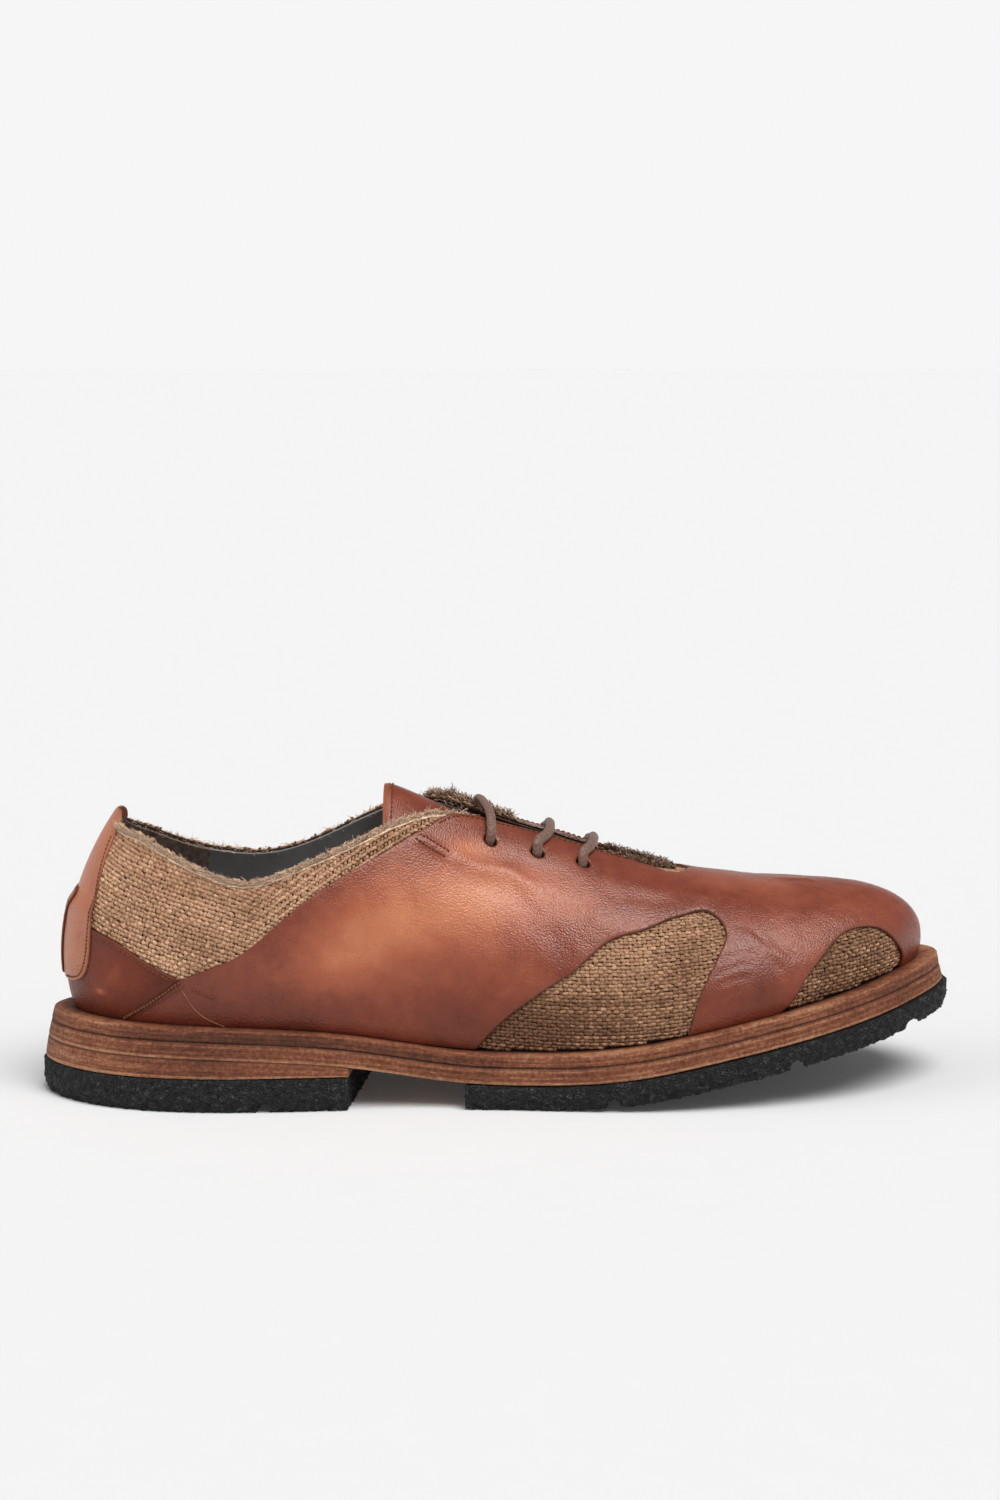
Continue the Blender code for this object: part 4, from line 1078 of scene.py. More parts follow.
def grow_loop(outline):
    """Window outline moved outwards, so that the cloth runs under the leather's edge."""
    loop = resample(outline, 2.0)
    along = unit(np.roll(loop, -1, axis=0) - np.roll(loop, 1, axis=0))
    shift = np.column_stack([along[:, 1], -along[:, 0]]) * WINDOW_TUCK
    return max(loop + shift, loop - shift, key=lambda moved: np.ptp(moved[:, 0]))


CLOTH_LOOPS = {
    "quarter": [np.array(QUARTER_CLOTH) * FLAT],
    "windows": [grow_loop(BALL_WINDOW), grow_loop(TOE_WINDOW), np.array(THROAT_CLOTH) * FLAT],
}


def weave_cells(side, kind, pitch, slope):
    """Share, rise, column and row of each crossing of the weave inside the cloth."""
    rings = np.linspace(0.0, 1.0, 2001)
    run = run_along(upper_point(rings * side, np.full(len(rings), 0.45)))
    places = np.arange(0.0, run[-1], pitch[0])
    rows = np.arange(WEAVE_ROWS)
    made = []
    for column, (share, place) in enumerate(zip(np.interp(places, run, rings), places)):
        heights = rows * pitch[1] - slope * place
        above = heights > 0.3
        rises = meridian_rises(share * side, heights[above])
        same = np.ones(len(rises))
        made.append(np.column_stack([same * share, rises, same * column, rows[above][:len(rises)]]))
    made = np.concatenate(made)
    return made[np.any([inside(made[:, :2] * FLAT, loop) for loop in CLOTH_LOOPS[kind]], axis=0)]


def patina(side, flat):
    return patches(CLOTH_STAIN, np.full(len(flat), side), flat)


def make_weave(name, side, kind):
    shade, pitch, slope = WEAVES[kind]
    crossings = weave_cells(side, kind, pitch, slope)
    share, rise = crossings[:, :2].T
    column, row = crossings[:, 2:].astype(int).T
    count = len(crossings)
    spots = crossings[:, :2] * FLAT
    level = (column + row) % 2 == 0
    wander = rng.normal(0.0, 0.08 * min(pitch), (count, 2))
    point, ahead, upward, normal = surface_frame(share * side, rise)
    point = point + ahead * wander[:, :1] + upward * wander[:, 1:]
    lean = rng.normal(0.0, 0.14, count)[:, None]
    weft = unit(ahead - upward * (slope + lean))
    along = np.where(level[:, None], weft, unit(upward + ahead * lean))
    across = np.where(level[:, None], unit(upward + ahead * (slope + lean)), unit(ahead - upward * lean))
    row_size = rng.uniform(0.92, 1.10, YARN_COUNT)[row]
    column_size = rng.uniform(0.86, 1.04, YARN_COUNT)[column]
    size = np.where(level, row_size, column_size) * rng.uniform(0.92, 1.08, count)
    size = (size * (1 + 0.22 * noise_over(spots, 0.9, 7.0)))[:, None]
    place, lift, swell, bright = np.array(YARN_STATIONS).T
    reach = place * np.where(level, WEFT_REACH * pitch[0], WARP_REACH * pitch[1])[:, None]
    lift = lift - np.where(level, 0.0, WARP_DROP)[:, None]
    paths = point[:, None] + along[:, None] * reach[..., None] + normal[:, None] * lift[..., None]
    wide = np.where(level, YARN_WIDE * pitch[1], YARN_WIDE * WARP_WIDE * pitch[0])[:, None] * size * swell
    high = YARN_HIGH * min(pitch) * np.sqrt(size) * swell
    across, upward = (np.repeat(way[:, None], len(place), axis=1) for way in (across, normal))
    points, faces = tubes(paths, across, upward, wide, high)
    row_tone = rng.normal(0.0, 0.09, YARN_COUNT)[row]
    column_tone = rng.normal(0.10, 0.07, YARN_COUNT)[column]
    drift = 0.26 * noise_over(spots, 0.045, side * 4.0)
    blend = 0.26 + np.where(level, row_tone, column_tone) + drift + rng.normal(0.0, 0.09, count)
    blend = np.clip(blend + shade + patina(side, crossings[:, :2]), 0.0, 1.0)
    color = carry(blend, np.linspace(0.0, 1.0, len(JUTE)), JUTE) * rng.uniform(0.90, 1.06, count)[:, None]
    # yarn ends dimmed by the station brightness: painted shade where each yarn dips under its neighbours
    tint = np.repeat((color[:, None] * bright[:, None]).reshape(-1, 3), YARN_SIDES, axis=0)
    flow = yarn_flow(reach, YARN_WIDE * min(pitch))
    add_piece(name, points, faces, YARN_LOOK, "burlap", (), tint, flow)


def make_fuzz(name, side):
    """Loose fibres that stand off the cloth."""
    crossings = np.concatenate([weave_cells(side, kind, FUZZ_PITCH, FUZZ_SLOPE) for kind in WEAVES])
    count = int(len(crossings) * FUZZ_PER_CELL)
    chosen = crossings[rng.integers(0, len(crossings), count), :2]
    share = chosen[:, 0] + rng.normal(0, 0.002, count)
    rise = np.clip(chosen[:, 1] + rng.normal(0, 0.008, count), 0.01, 0.99)
    point, ahead, upward, normal = surface_frame(share * side, rise)
    turn = rng.uniform(0, 2 * math.pi, count)[:, None]
    way = ahead * np.cos(turn) + upward * np.sin(turn)
    bend = rng.normal(0, 0.5, count)[:, None] * (upward * np.cos(turn) - ahead * np.sin(turn))
    steps = np.array([-1.0, 0.0, 1.0])
    far = rng.uniform(0.5, 1.3, count)[:, None]
    lift = rng.uniform(0.25, 0.60, count)[:, None] - np.array([0.30, 0.0, -0.08])
    paths = point[:, None] + way[:, None] * (steps * far)[..., None] + normal[:, None] * lift[..., None]
    paths = paths + bend[:, None] * (steps ** 2 * far)[..., None]
    dark = np.clip(patina(side, chosen), 0, 1)[:, None]
    color = JUTE[0] * rng.uniform(0.55, 1.10, count)[:, None] * (1 - 0.8 * dark)
    add_fibres(name, paths, (0.045, 0.055, 0.025), color, YARN_LOOK)


def make_cloth():
    top = (THROAT_END, 1.0), (0.0, 1.0)
    ground = sheet(wall_parts(*top), 4.2, 3.2, -1.1, -0.35, edge_drop=0.2, laced=True)
    add_piece("burlap_ground", *ground[:2], GROUND_LOOK, "burlap", ("upper",))
    for side, label in SIDES:
        for kind in WEAVES:
            make_weave(f"burlap_{kind}_{label}", side, kind)
        make_fuzz(f"burlap_fuzz_{label}", side)


# Raw edges: side, label, fibres in a tuft, first share, last share, rise, fibre length,
# colour shade (0 pale, 1 dark), spread of the shade
RAW_EDGES = (
    (-1, "lateral", 26, 0.05, 0.476, 0.985, 2.1, 0.06, 0.12),
    (1, "medial", 15, 0.05, 0.476, 0.985, 1.9, 0.12, 0.12),
)
# Woolly clumps in the throat: side, first share, last share, rise, length, shade, spread of the shade
THROAT_CLUMPS = (
    (1, 0.435, 0.522, 0.99, 3.3, 0.52, 0.28), (-1, 0.604, 0.672, 0.985, 2.2, 0.78, 0.24),
    (1, 0.6, 0.672, 0.99, 2.9, 0.78, 0.24),
)
TUFT_PITCH = 0.9
CLUMP_FIBRES = 27
# Loose yarns along a raw edge: height over the edge, radius
EDGE_YARN_ROWS = ((-1.3, 0.50), (-0.5, 0.42))
EDGE_YARN_PITCH = 2.2
EDGE_YARN_SHARE = 0.0085
EDGE_YARN_LENGTH = 3.3
PALE_JUTE = np.array([0.98, 0.710, 0.510])
DEEP_JUTE = np.array([0.150, 0.056, 0.030])


def edge_color(shade, spread, count):
    tone = np.clip(rng.normal(shade, spread, count), 0.0, 1.0)[:, None]
    return (PALE_JUTE * (1 - tone) + DEEP_JUTE * tone) * rng.uniform(0.85, 1.15, count)[:, None]


def edge_fibres(side, many, first, last, rise, length, shade, spread):
    """Short curled fibres in leaning tufts along a cut edge: paths and colours."""
    count = int((last - first) * FLAT[0] / TUFT_PITCH)
    total = count * many
    shares = np.linspace(first, last, count) + rng.normal(0, 0.0006, count)
    tuft_frame = surface_frame(shares * side, np.full(count, rise))
    point, ahead, upward, normal = (np.repeat(part, many, axis=0) for part in tuft_frame)
    swell = np.repeat(1.0 + 0.55 * noise_along(shares, 150.0, side, length), many)
    lean = np.repeat(rng.normal(0.0, 0.45, count), many)[:, None]
    out = np.repeat(rng.normal(0.15, 0.35, count), many)[:, None]
    heading = unit(upward + ahead * lean + normal * out)

    def jitter(wide):
        return rng.normal(0, wide, total)[:, None]

    root = point + ahead * jitter(0.45) + normal * (jitter(0.55) - 0.10)
    root = root - upward * rng.uniform(0.0, 1.3, total)[:, None]
    way = unit(heading + ahead * jitter(0.40) + normal * jitter(0.40))
    bend = ahead * jitter(1.1) + normal * jitter(1.0)
    bend = bend - upward * rng.uniform(0, 0.9, total)[:, None]
    far = (length * swell * rng.uniform(0.35, 1.0, total))[:, None]
    steps = np.array([0.0, 0.35, 0.70, 1.0])
    paths = root[:, None] + way[:, None] * (steps * far)[..., None]
    paths = paths + bend[:, None] * (steps ** 2 * far * 0.62)[..., None]
    color = np.repeat(edge_color(shade, spread, count), many, axis=0)
    return paths, color * rng.uniform(0.70, 1.30, total)[:, None]


def throat_clumps(side, first, last, rise, length, shade, spread):
    """Curled wool of the frayed cloth between the facings: paths and colours."""
    count = int((last - first) * FLAT[0] * CLUMP_FIBRES)
    shares = rng.uniform(first, last, count)
    point, ahead, upward, normal = surface_frame(shares * side, np.full(count, rise))
    swell = 1.0 + 0.8 * noise_along(shares, 110.0, side, 2.0)
    ends = np.clip(np.minimum(shares - first, last - shares) / 0.008, 0.25, 1.0)
    up = unit(normal * 0.8 + np.array([0.0, 0.0, 0.8]) + upward * 0.5)
    way = unit(up + ahead * rng.normal(0, 0.5, count)[:, None] + upward * rng.normal(0, 0.4, count)[:, None])
    root = point + upward * rng.uniform(-1.0, 0.6, count)[:, None]
    root = root + normal * rng.uniform(0.0, 1.2, count)[:, None]
    far = length * swell * ends * rng.uniform(0.25, 1.0, count)
    steps = np.linspace(0.0, 1.0, 5)
    first_turn, turns = rng.uniform(0, 2 * math.pi, count), rng.uniform(0.4, 0.8, count)
    turn = first_turn[:, None] + 2 * math.pi * turns[:, None] * steps
    loop = rng.uniform(0.45, 0.95, count)[:, None, None] * np.minimum(steps * 2.5, 1.0)[:, None]
    curl = loop * (ahead[:, None] * np.cos(turn)[..., None] + upward[:, None] * np.sin(turn)[..., None])
    paths = root[:, None] + way[:, None] * (steps * far[:, None])[..., None] + curl
    return paths, edge_color(shade, spread, count)


def make_edge_yarns(name, side, first, last, rise, shade, spread):
    """Loose lengthwise yarns that hold the cut edge, as short overlapping lengths."""
    count = int((last - first) * FLAT[0] / EDGE_YARN_PITCH)
    shares = np.linspace(first, last - 0.006, count)[:, None] + np.linspace(0.0, EDGE_YARN_SHARE, 5)
    point, _, upward, normal = surface_frame(shares * side, np.full(shares.shape, rise))
    paths, wide, color = [], [], []
    for drop, radius in EDGE_YARN_ROWS:
        sway = 0.35 * noise_along(shares.ravel(), 90.0, drop, side).reshape(shares.shape)
        paths.append(point + upward * (drop + sway)[..., None] + normal * 0.10)
        wide.append(np.full(shares.shape, radius) * rng.uniform(0.80, 1.10, count)[:, None])
        color.append(edge_color(shade, spread * 0.6, count))
    paths, wide, color = (np.concatenate(part) for part in (paths, wide, color))
    points, faces = tubes(paths, *strand_frames(paths), wide, wide * 0.8)
    along = np.broadcast_to(np.linspace(0.0, EDGE_YARN_LENGTH, paths.shape[1]), paths.shape[:2])
    flow = yarn_flow(along, 0.6)
    add_piece(name, points, faces, YARN_LOOK, "burlap", (), spread_tint(color, len(points)), flow)


def make_raw_edges():
    """Fluffy cut edges of the cloth, one piece of yarns and one of fibres for each side."""
    for side, label, many, first, last, rise, length, shade, spread in RAW_EDGES:
        make_edge_yarns(f"burlap_edge_yarns_{label}", side, first, last, rise, shade, spread)
        paths, color = edge_fibres(side, many, first, last, rise, length, shade, spread)
        add_fibres(f"burlap_edge_fibres_{label}", paths, (0.135, 0.135, 0.115, 0.070), color, FLUFF_LOOK)
    made = [throat_clumps(*clump) for clump in THROAT_CLUMPS]
    paths, color = (np.concatenate(part) for part in zip(*made))
    add_fibres("throat_fringe", paths, (0.165, 0.165, 0.155, 0.125, 0.075), color, YARN_LOOK)


# Lining, tongue and insole

LINING_TOP = (
    (THROAT_END, 1.0), (0.668, 0.97), (0.6, 0.955), (0.48, 0.955), (0.44, 0.975), (0.3, 0.988), (0.0, 0.988),
)
GRIP_FRONT = ((0.0, 0.02), (0.176, 0.02), (0.184, 0.3), (0.184, 0.7), (0.181, 0.992))
GRIP_TOP = (GRIP_FRONT[-1], (0.09, 0.993), (0.0, 0.995))
LINING_OVER = -1.15
TONGUE_ROWS = 72
TONGUE_COLUMNS = 38
TONGUE_HALF = 0.95
TONGUE_RIM = 1.2


def make_lining():
    lining = sheet(wall_parts(*LINING_TOP), 4.0, 3.0, -WALL, LINING_OVER, edge_drop=0.1, laced=True)
    add_piece("lining", *lining[:2], LINING_LOOK, "dark_leather")
    grip = rim(*GRIP_FRONT), rim(*GRIP_TOP), join(GRIP_TOP[-1], GRIP_FRONT[0])
    suede = sheet(grip, 2.6, 1.8, -WALL - 0.9, -WALL - 0.05, edge_drop=0.2)
    add_piece("heel_grip", *suede[:2], SUEDE_LOOK, "dark_leather")


def tongue_sheet(stations, across):
    """Middle of the tongue's leather, its outward direction, x and half width."""
    x, place = np.meshgrid(stations, across, indexing="ij")
    middle, crest, half, drop = np.moveaxis(tongue_curve(x), -1, 0)
    points = np.stack([x, middle + half * place, crest - drop * place ** 2], axis=-1)
    return points, unit(np.cross(np.gradient(points, axis=0), np.gradient(points, axis=1))), x, half


def make_tongue():
    """Leather tongue with a rounded, folded rim."""
    across = np.linspace(-1.0, 1.0, TONGUE_COLUMNS)
    points, normal, x, half = tongue_sheet(np.linspace(TONGUE[0][0], TONGUE[-1][0], TONGUE_ROWS), across)
    gap = np.minimum(x - TONGUE[0][0], half * (1 - np.abs(across)))
    thick = TONGUE_HALF * np.sqrt(np.clip(1 - np.clip(1 - gap / TONGUE_RIM, 0, 1) ** 2, 0.06, 1.0))
    wavy = 0.18 * noise_over(points.reshape(-1, 3)[:, :2], 0.09, 3.0).reshape(x.shape)
    top = points + normal * (thick + wavy)[..., None]
    bottom = points - normal * (thick - wavy)[..., None]
    index = np.arange(x.size).reshape(x.shape)
    corners = index[:-1, :-1], index[1:, :-1], index[1:, 1:], index[:-1, 1:]
    quads = np.stack(corners, axis=-1).reshape(-1, 4)
    edge = np.concatenate([index[:, 0], index[-1, 1:], index[-2::-1, -1], index[0, -2:0:-1]])
    after = np.roll(edge, -1)
    walls = np.column_stack([after, edge, edge + x.size, after + x.size])
    faces = np.concatenate([quads, quads[:, ::-1] + x.size, walls])
    every = np.concatenate([top.reshape(-1, 3), bottom.reshape(-1, 3)])
    gap = gap.ravel()
    worn = 0.30 + 0.30 * hump(gap, 1.3)
    tint = np.column_stack([worn, 0.25 * hump(gap - 2.0, 0.8), np.full(len(gap), 0.5)])
    add_piece("leather_tongue", every, outward_faces(every, faces), LEATHER_LOOK, "brown_leather",
              ("tongue",), np.vstack([tint, tint]))


# Laces

# Stations of a lace at its hole: out from the upper, up the wall
LACE_TURN = ((-3.2, -0.6), (-0.8, -0.1), (1.2, 0.6), (LACE_LIFT, 2.8))
LACE_CREST = (0.92, 1.0)
LACE_SINK = 0.15
LACE_WIDE = 1.72
LACE_HIGH = 1.28
LACE_SIDES = 14
LACE_SPACING = 0.45
MEDIAL_LEAN = 0.4


def smooth_path(points):
    """Evenly spaced points on a smooth curve through a lace's stations, and their run."""
    points = np.asarray(points, float)
    chord = np.concatenate(([0.0], np.cumsum(np.sqrt(np.linalg.norm(np.diff(points, axis=0), axis=1)))))
    fine = spline(chord, points)(np.linspace(0, chord[-1], 600))
    run = run_along(fine)
    place = np.linspace(0, run[-1], int(run[-1] / LACE_SPACING) + 1)
    return carry(place, run, fine), place


def lace_half(ring, rise, lean):
    """Lace from under its hole, out and over the facing to the middle of the throat."""
    point, _, upward, axis = surface_frame(np.array(ring), np.array(rise))
    path = [point + axis * out + upward * up for out, up in LACE_TURN]
    for height in LACE_CREST:
        along = ring + math.copysign(lean, ring) * (height - rise) / (1 - rise)
        path.append(upper_point(along, height) + upper_normal(along, height) * (LACE_LIFT - LACE_SINK))
    return path


def cord_mesh(path, run, wide, high, sides):
    """Oval cord carried along a path without twisting; wide and high have a value for each station."""
    along = unit(np.gradient(path, axis=0))
    side = np.cross(along[0], (0.0, 0.0, 1.0))
    turn = (2 * math.pi * np.arange(sides) / sides)[:, None]
    points, flow = [], []
    for place, way, done, half_wide, half_high in zip(path, along, run, wide, high):
        side = unit(side - way * np.dot(side, way))
        other = np.cross(way, side)
        points.append(place + side * half_wide * np.cos(turn) + other * half_high * np.sin(turn))
        flow.append(np.hstack([np.full((sides, 1), done), 2.2 * np.sin(turn), 2.2 * np.cos(turn)]))
    index = np.arange(len(path) * sides).reshape(-1, sides)
    faces = ring_quads(index).tolist() + [index[0, ::-1].tolist(), index[-1].tolist()]
    return np.concatenate(points), faces, np.concatenate(flow)


def make_laces():
    for number, (hole, lean) in enumerate(zip(LACE_HOLES, LACE_LEAN), start=1):
        lateral_share, lateral_rise, medial_share, medial_rise = hole
        stations = lace_half(-lateral_share, lateral_rise, lean)
        stations += reversed(lace_half(medial_share, medial_rise, lean * MEDIAL_LEAN))
        path, run = smooth_path(stations)
        ripple = 1.0 + 0.02 * np.sin(run * 2.9 + number)
        points, faces, flow = cord_mesh(path, run, LACE_WIDE * ripple, LACE_HIGH * ripple, LACE_SIDES)
        flow[:, 2] += 17.0 * number
        bar = f"lace_bar_{number}"
        add_piece(f"lace_{number}", points, faces, LACE_LOOK, "dark_cord", (bar,), None, flow)


# Sole

SOLE_COLUMNS = 460
SOLE_RING = np.concatenate([-np.linspace(0, 1, SOLE_COLUMNS + 1), np.linspace(1, 0, SOLE_COLUMNS + 1)[1:-1]])
SOLE_RUN = run_along(edge_point(SOLE_RING))
SOLE_SHARP = 38.0
EDGE_ROUND = 0.18
RIDGE = 0.12
SEAM_GAP = GAP * 0.4


def streak_relief(level, strength, seed):
    """Fine ridges that run along the cut edge of the leather."""
    coarse = noise_along(SOLE_RUN, 0.035, level * 1.9, seed)
    return strength * (coarse + 0.5 * noise_along(SOLE_RUN, 0.11, level * 4.1, seed + 7.0))


def loft(name, node, levels, seed, hollow=False, cut=None, shade=0.0):
    """Sole layer through fine outlines. Levels are (inset, height function, tone, dark, ridge strength)."""
    count = len(SOLE_RING)
    points, tint, flow = [], [], []
    for number, (inset, height, tone, dark, ridge) in enumerate(levels):
        plan = inset_edge(SOLE_RING, inset - streak_relief(number * 0.61, ridge, seed))[0]
        z = height(plan[:, 0])
        points.append(np.column_stack([plan, z]))
        tint.append(np.column_stack([np.full(count, tone) + shade, np.full(count, dark), np.zeros(count)]))
        flow.append(np.column_stack([SOLE_RUN, z - leather_underside(plan[:, 0]), np.full(count, seed)]))
    layers = len(levels)
    index = np.arange(layers * count).reshape(layers, count)
    faces = ring_quads(np.vstack([index, index[:1]]) if hollow else index).tolist()
    for base, turn in () if hollow else ((0, 1), ((layers - 1) * count, -1)):
        for column in range(SOLE_COLUMNS):
            across = [column, column + 1, (count - column - 1) % count, (count - column) % count]
            faces.append([base + corner for corner in dict.fromkeys(across)][::turn])
    points, tint, flow = (np.concatenate(part) for part in (points, tint, flow))
    piece = add_piece(name, points, faces, SOLE_LOOK, "sole_leather", (node,), tint, flow)
    work = bmesh.new()
    work.from_mesh(piece.data)
    if cut is not None:
        parts = work.verts[:] + work.edges[:] + work.faces[:]
        direction = Vector((math.cos(BREAST_SLANT), -math.sin(BREAST_SLANT), 0.0))
        spot = Vector((cut[0] * MM, cut[1] * MM, 0.0))
        bmesh.ops.bisect_plane(work, geom=parts, plane_co=spot, plane_no=direction, clear_outer=True)
        bmesh.ops.holes_fill(work, edges=[edge for edge in work.edges if edge.is_boundary])
    bmesh.ops.recalc_face_normals(work, faces=work.faces)
    work.to_mesh(piece.data)
    work.free()
    smooth_by_angle(piece, SOLE_SHARP)


def smooth_by_angle(piece, degrees):
    """Sharp edges where faces meet at a wide angle, the rest shaded smooth."""
    work = bmesh.new()
    work.from_mesh(piece.data)
    for face in work.faces:
        face.smooth = True
    for edge in work.edges:
        edge.smooth = len(edge.link_faces) != 2 or edge.calc_face_angle(0.0) < math.radians(degrees)
    work.to_mesh(piece.data)
    work.free()


def raised(height, by):
    return lambda x: height(x) + by


def between(low, high, share):
    return lambda x: low(x) * (1 - share) + high(x) * share


def stack(low, high, low_inset, high_inset, steps, tone, dark_ends, pale, torn=RIDGE):
    """Levels of one leather layer from its lower to its upper edge, both edges slightly rounded."""
    levels = [(low_inset + EDGE_ROUND * 1.6, low, tone + pale[0], dark_ends[0], 0.0)]
    for step in range(steps + 1):
        share = 0.06 + 0.88 * step / steps
        pull = EDGE_ROUND * (1 - min(1.0, min(step, steps - step) / 1.5))
        inset = low_inset * (1 - share) + high_inset * share + pull * 0.6
        dark = 0.7 * (dark_ends[0] * (step == 0) + dark_ends[1] * (step == steps))
        rubbed = tone + pale[0] * (step < 2) + pale[1] * (step > steps - 2)
        ridge = torn if step > steps - 2 else RIDGE
        levels.append((inset, between(low, high, share), rubbed + rng.normal(0.0, 0.05), dark, ridge))
    levels.append((high_inset + EDGE_ROUND * 1.6, high, tone + pale[1], dark_ends[1], 0.0))
    return levels


def heel_top(x):
    return np.full(np.shape(x), HEEL_RUBBER_TOP + SEAM_GAP)


def make_sole():
    midsole_top = raised(leather_underside, MIDSOLE_THICK)
    welt_bottom = raised(midsole_top, SEAM_GAP)
    under_leather = raised(leather_underside, -SEAM_GAP)
    share = np.abs(SOLE_RING)
    foot = feather_inset(share)[:, 0]
    levels = stack(leather_underside, midsole_top, MIDSOLE_LOW_INSET, WELT_LOW_INSET, 12, 0.52,
                   (0.0, 0.60), (0.22, 0.0))
    loft("sole_midsole", "midsole", levels, 2.0)
    levels = stack(welt_bottom, sole_top, WELT_LOW_INSET, WELT_TOP_INSET, 10, 0.54,
                   (0.60, 0.0), (0.0, 0.12), 0.34)
    # welt top rows towards the upper's foot are painted dark: painted shade in the gap under the upper's edge
    levels += [
        (WELT_TOP_INSET + 2.0, sole_top, 0.66, 0.0, 0.3),
        (foot - 2.4, sole_top, 0.52, 0.15, 0.3),
        (foot - 0.4, sole_top, 0.40, 0.85, 0.0),
        (foot + WELT_SEAT, sole_top, 0.4, 0.8, 0.0),
        (foot + WELT_SEAT, welt_bottom, 0.4, 0.8, 0.0),
    ]
    # welt darker along its middle stretch on both sides
    darker_welt_middle = -0.22 * hump(share - 0.32, 0.15)
    loft("sole_welt", "welt", levels, 5.0, hollow=True, shade=darker_welt_middle)
    levels = stack(heel_top, under_leather, LIFT_LOW_INSET, MIDSOLE_LOW_INSET, 12, 0.55,
                   (0.0, 0.60), (0.30, 0.0))
    loft("heel_lift_leather", "heel_lift", levels, 9.0, cut=HEEL_BREAST)


# Crumbs of the crepe: height, waves in a millimetre
CRUMBS = ((0.50, 0.62), (0.42, 1.25))
CRUMB_SINK = 0.22


def shaped(mesh, kind, **settings):
    """Mesh after one modifier."""
    source = bpy.data.objects.new("crepe_source", mesh)
    bpy.context.scene.collection.objects.link(source)
    modifier = source.modifiers.new("skin", kind)
    for key, value in settings.items():
        setattr(modifier, key, value)
    graph = bpy.context.evaluated_depsgraph_get()
    made = bpy.data.meshes.new_from_object(source.evaluated_get(graph))
    bpy.data.objects.remove(source)
    return made


def vectors_of(items, key):
    values = np.empty(len(items) * 3)
    items.foreach_get(key, values)
    return values.reshape(-1, 3)


def make_rubber(name, node, voxel, keep):
    """Crumbly crepe skin grown on the solid of the node, smooth on top where it is covered."""
    mesh = shaped(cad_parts[node].data.copy(), "REMESH", mode="VOXEL", voxel_size=voxel * MM)
    points = vectors_of(mesh.vertices, "co") / MM
    normals = vectors_of(mesh.vertex_normals, "vector")
    crumb = np.zeros(len(points))
    for tall, scale in CRUMBS:
        crumb += tall * np.array([noise.noise(spot) for spot in (points * scale).tolist()])
    crumb = np.where(normals[:, 2] > 0.8, 0.0, crumb) - CRUMB_SINK
    mesh.vertices.foreach_set("co", ((points + normals * crumb[:, None]) * MM).ravel())
    mesh = shaped(mesh, "DECIMATE", ratio=keep)
    points = vectors_of(mesh.vertices, "co") / MM
    points[:, 2] = np.maximum(points[:, 2], 0.0)
    faces = [tuple(face.vertices) for face in mesh.polygons]
    add_piece(name, points, faces, RUBBER_LOOK, "black_rubber", (node,))


# Stitches: side (0 for both), offset above the upper, stitch length, thread half width, line of (share, rise)
STITCH_ROWS = (
    (0, OVER, 1.9, 0.29, ((0.447, 0.915), (0.457, 0.943), (0.47, 0.966), (0.486, 0.973))),
    (0, OVER, 1.9, 0.29, ((0.486, 0.973), (0.53, 0.974), (0.57, 0.971), (0.6, 0.96), (0.622, 0.955))),
    (0, OVER, 1.6, 0.31, ((0.428, 0.883), (0.438, 0.838), (0.447, 0.8), (0.454, 0.775))),
    (0, OVER, 1.6, 0.31, ((0.424, 0.871), (0.433, 0.821), (0.442, 0.783), (0.45, 0.754))),
    (0, OVER, 2.1, 0.3, ((0.087, 0.446), (0.111, 0.425), (0.148, 0.358), (0.178, 0.3))),
    (0, OVER, 1.9, 0.62, ((0.1235, 0.01), (0.157, 0.129), (0.189, 0.296))),
    (0, OVER, 1.6, 0.26, ((0.131, 0.01), (0.162, 0.122), (0.194, 0.276))),
    (-1, OVER, 2.6, 0.4, ((0.2, 0.262), (0.209, 0.243), (0.224, 0.214))),
    (0, strip_over, 1.7, 0.27, (
        (0.05, 0.935), (0.062, 0.762), (0.069, 0.658), (0.074, 0.542), (0.0765, 0.442))),
    (0, strip_over, 1.7, 0.27, (
        (0.0765, 0.442), (0.0755, 0.308), (0.064, 0.217), (0.052, 0.195), (0.03, 0.182))),
)
# Stations of one stitch: place along it, height
STITCH_REACH = np.array([0.08, 0.25, 0.5, 0.75, 0.92])
STITCH_BOW = np.array([-0.25, 0.08, 0.16, 0.08, -0.25])
THREAD_COLOR = (0.190, 0.058, 0.028)
# Row along the tongue's top edge: x, reach across as a share of the half width, stitch length, half width
TONGUE_ROW = (-35.6, 0.90, 1.9, 0.27)
TONGUE_LIFT = 1.0
LOOSE_THREAD = (
    (0.191, 0.25), (0.199, 0.18), (0.206, 0.121), (0.218, 0.06), (0.235, 0.01),
)
LOOSE_COLOR = (0.480, 0.230, 0.125)
LOOSE_RADIUS = 0.13
LOOSE_LIFT = 0.08
LOOSE_SIDES = 6


def tongue_stitches():
    """Paths, outward directions and half width of the stitches along the tongue's top edge."""
    x, reach, length, half = TONGUE_ROW
    points, normal, *_ = tongue_sheet(np.array([x - 0.5, x, x + 0.5]), np.linspace(-reach, reach, 240))
    run = run_along(points[1])
    places = np.arange(0.0, run[-1] - length, length)[:, None] + length * STITCH_REACH
    outward = unit(carry(places, run, normal[1]))
    return carry(places, run, points[1]) + outward * (TONGUE_LIFT + STITCH_BOW)[:, None], outward, half


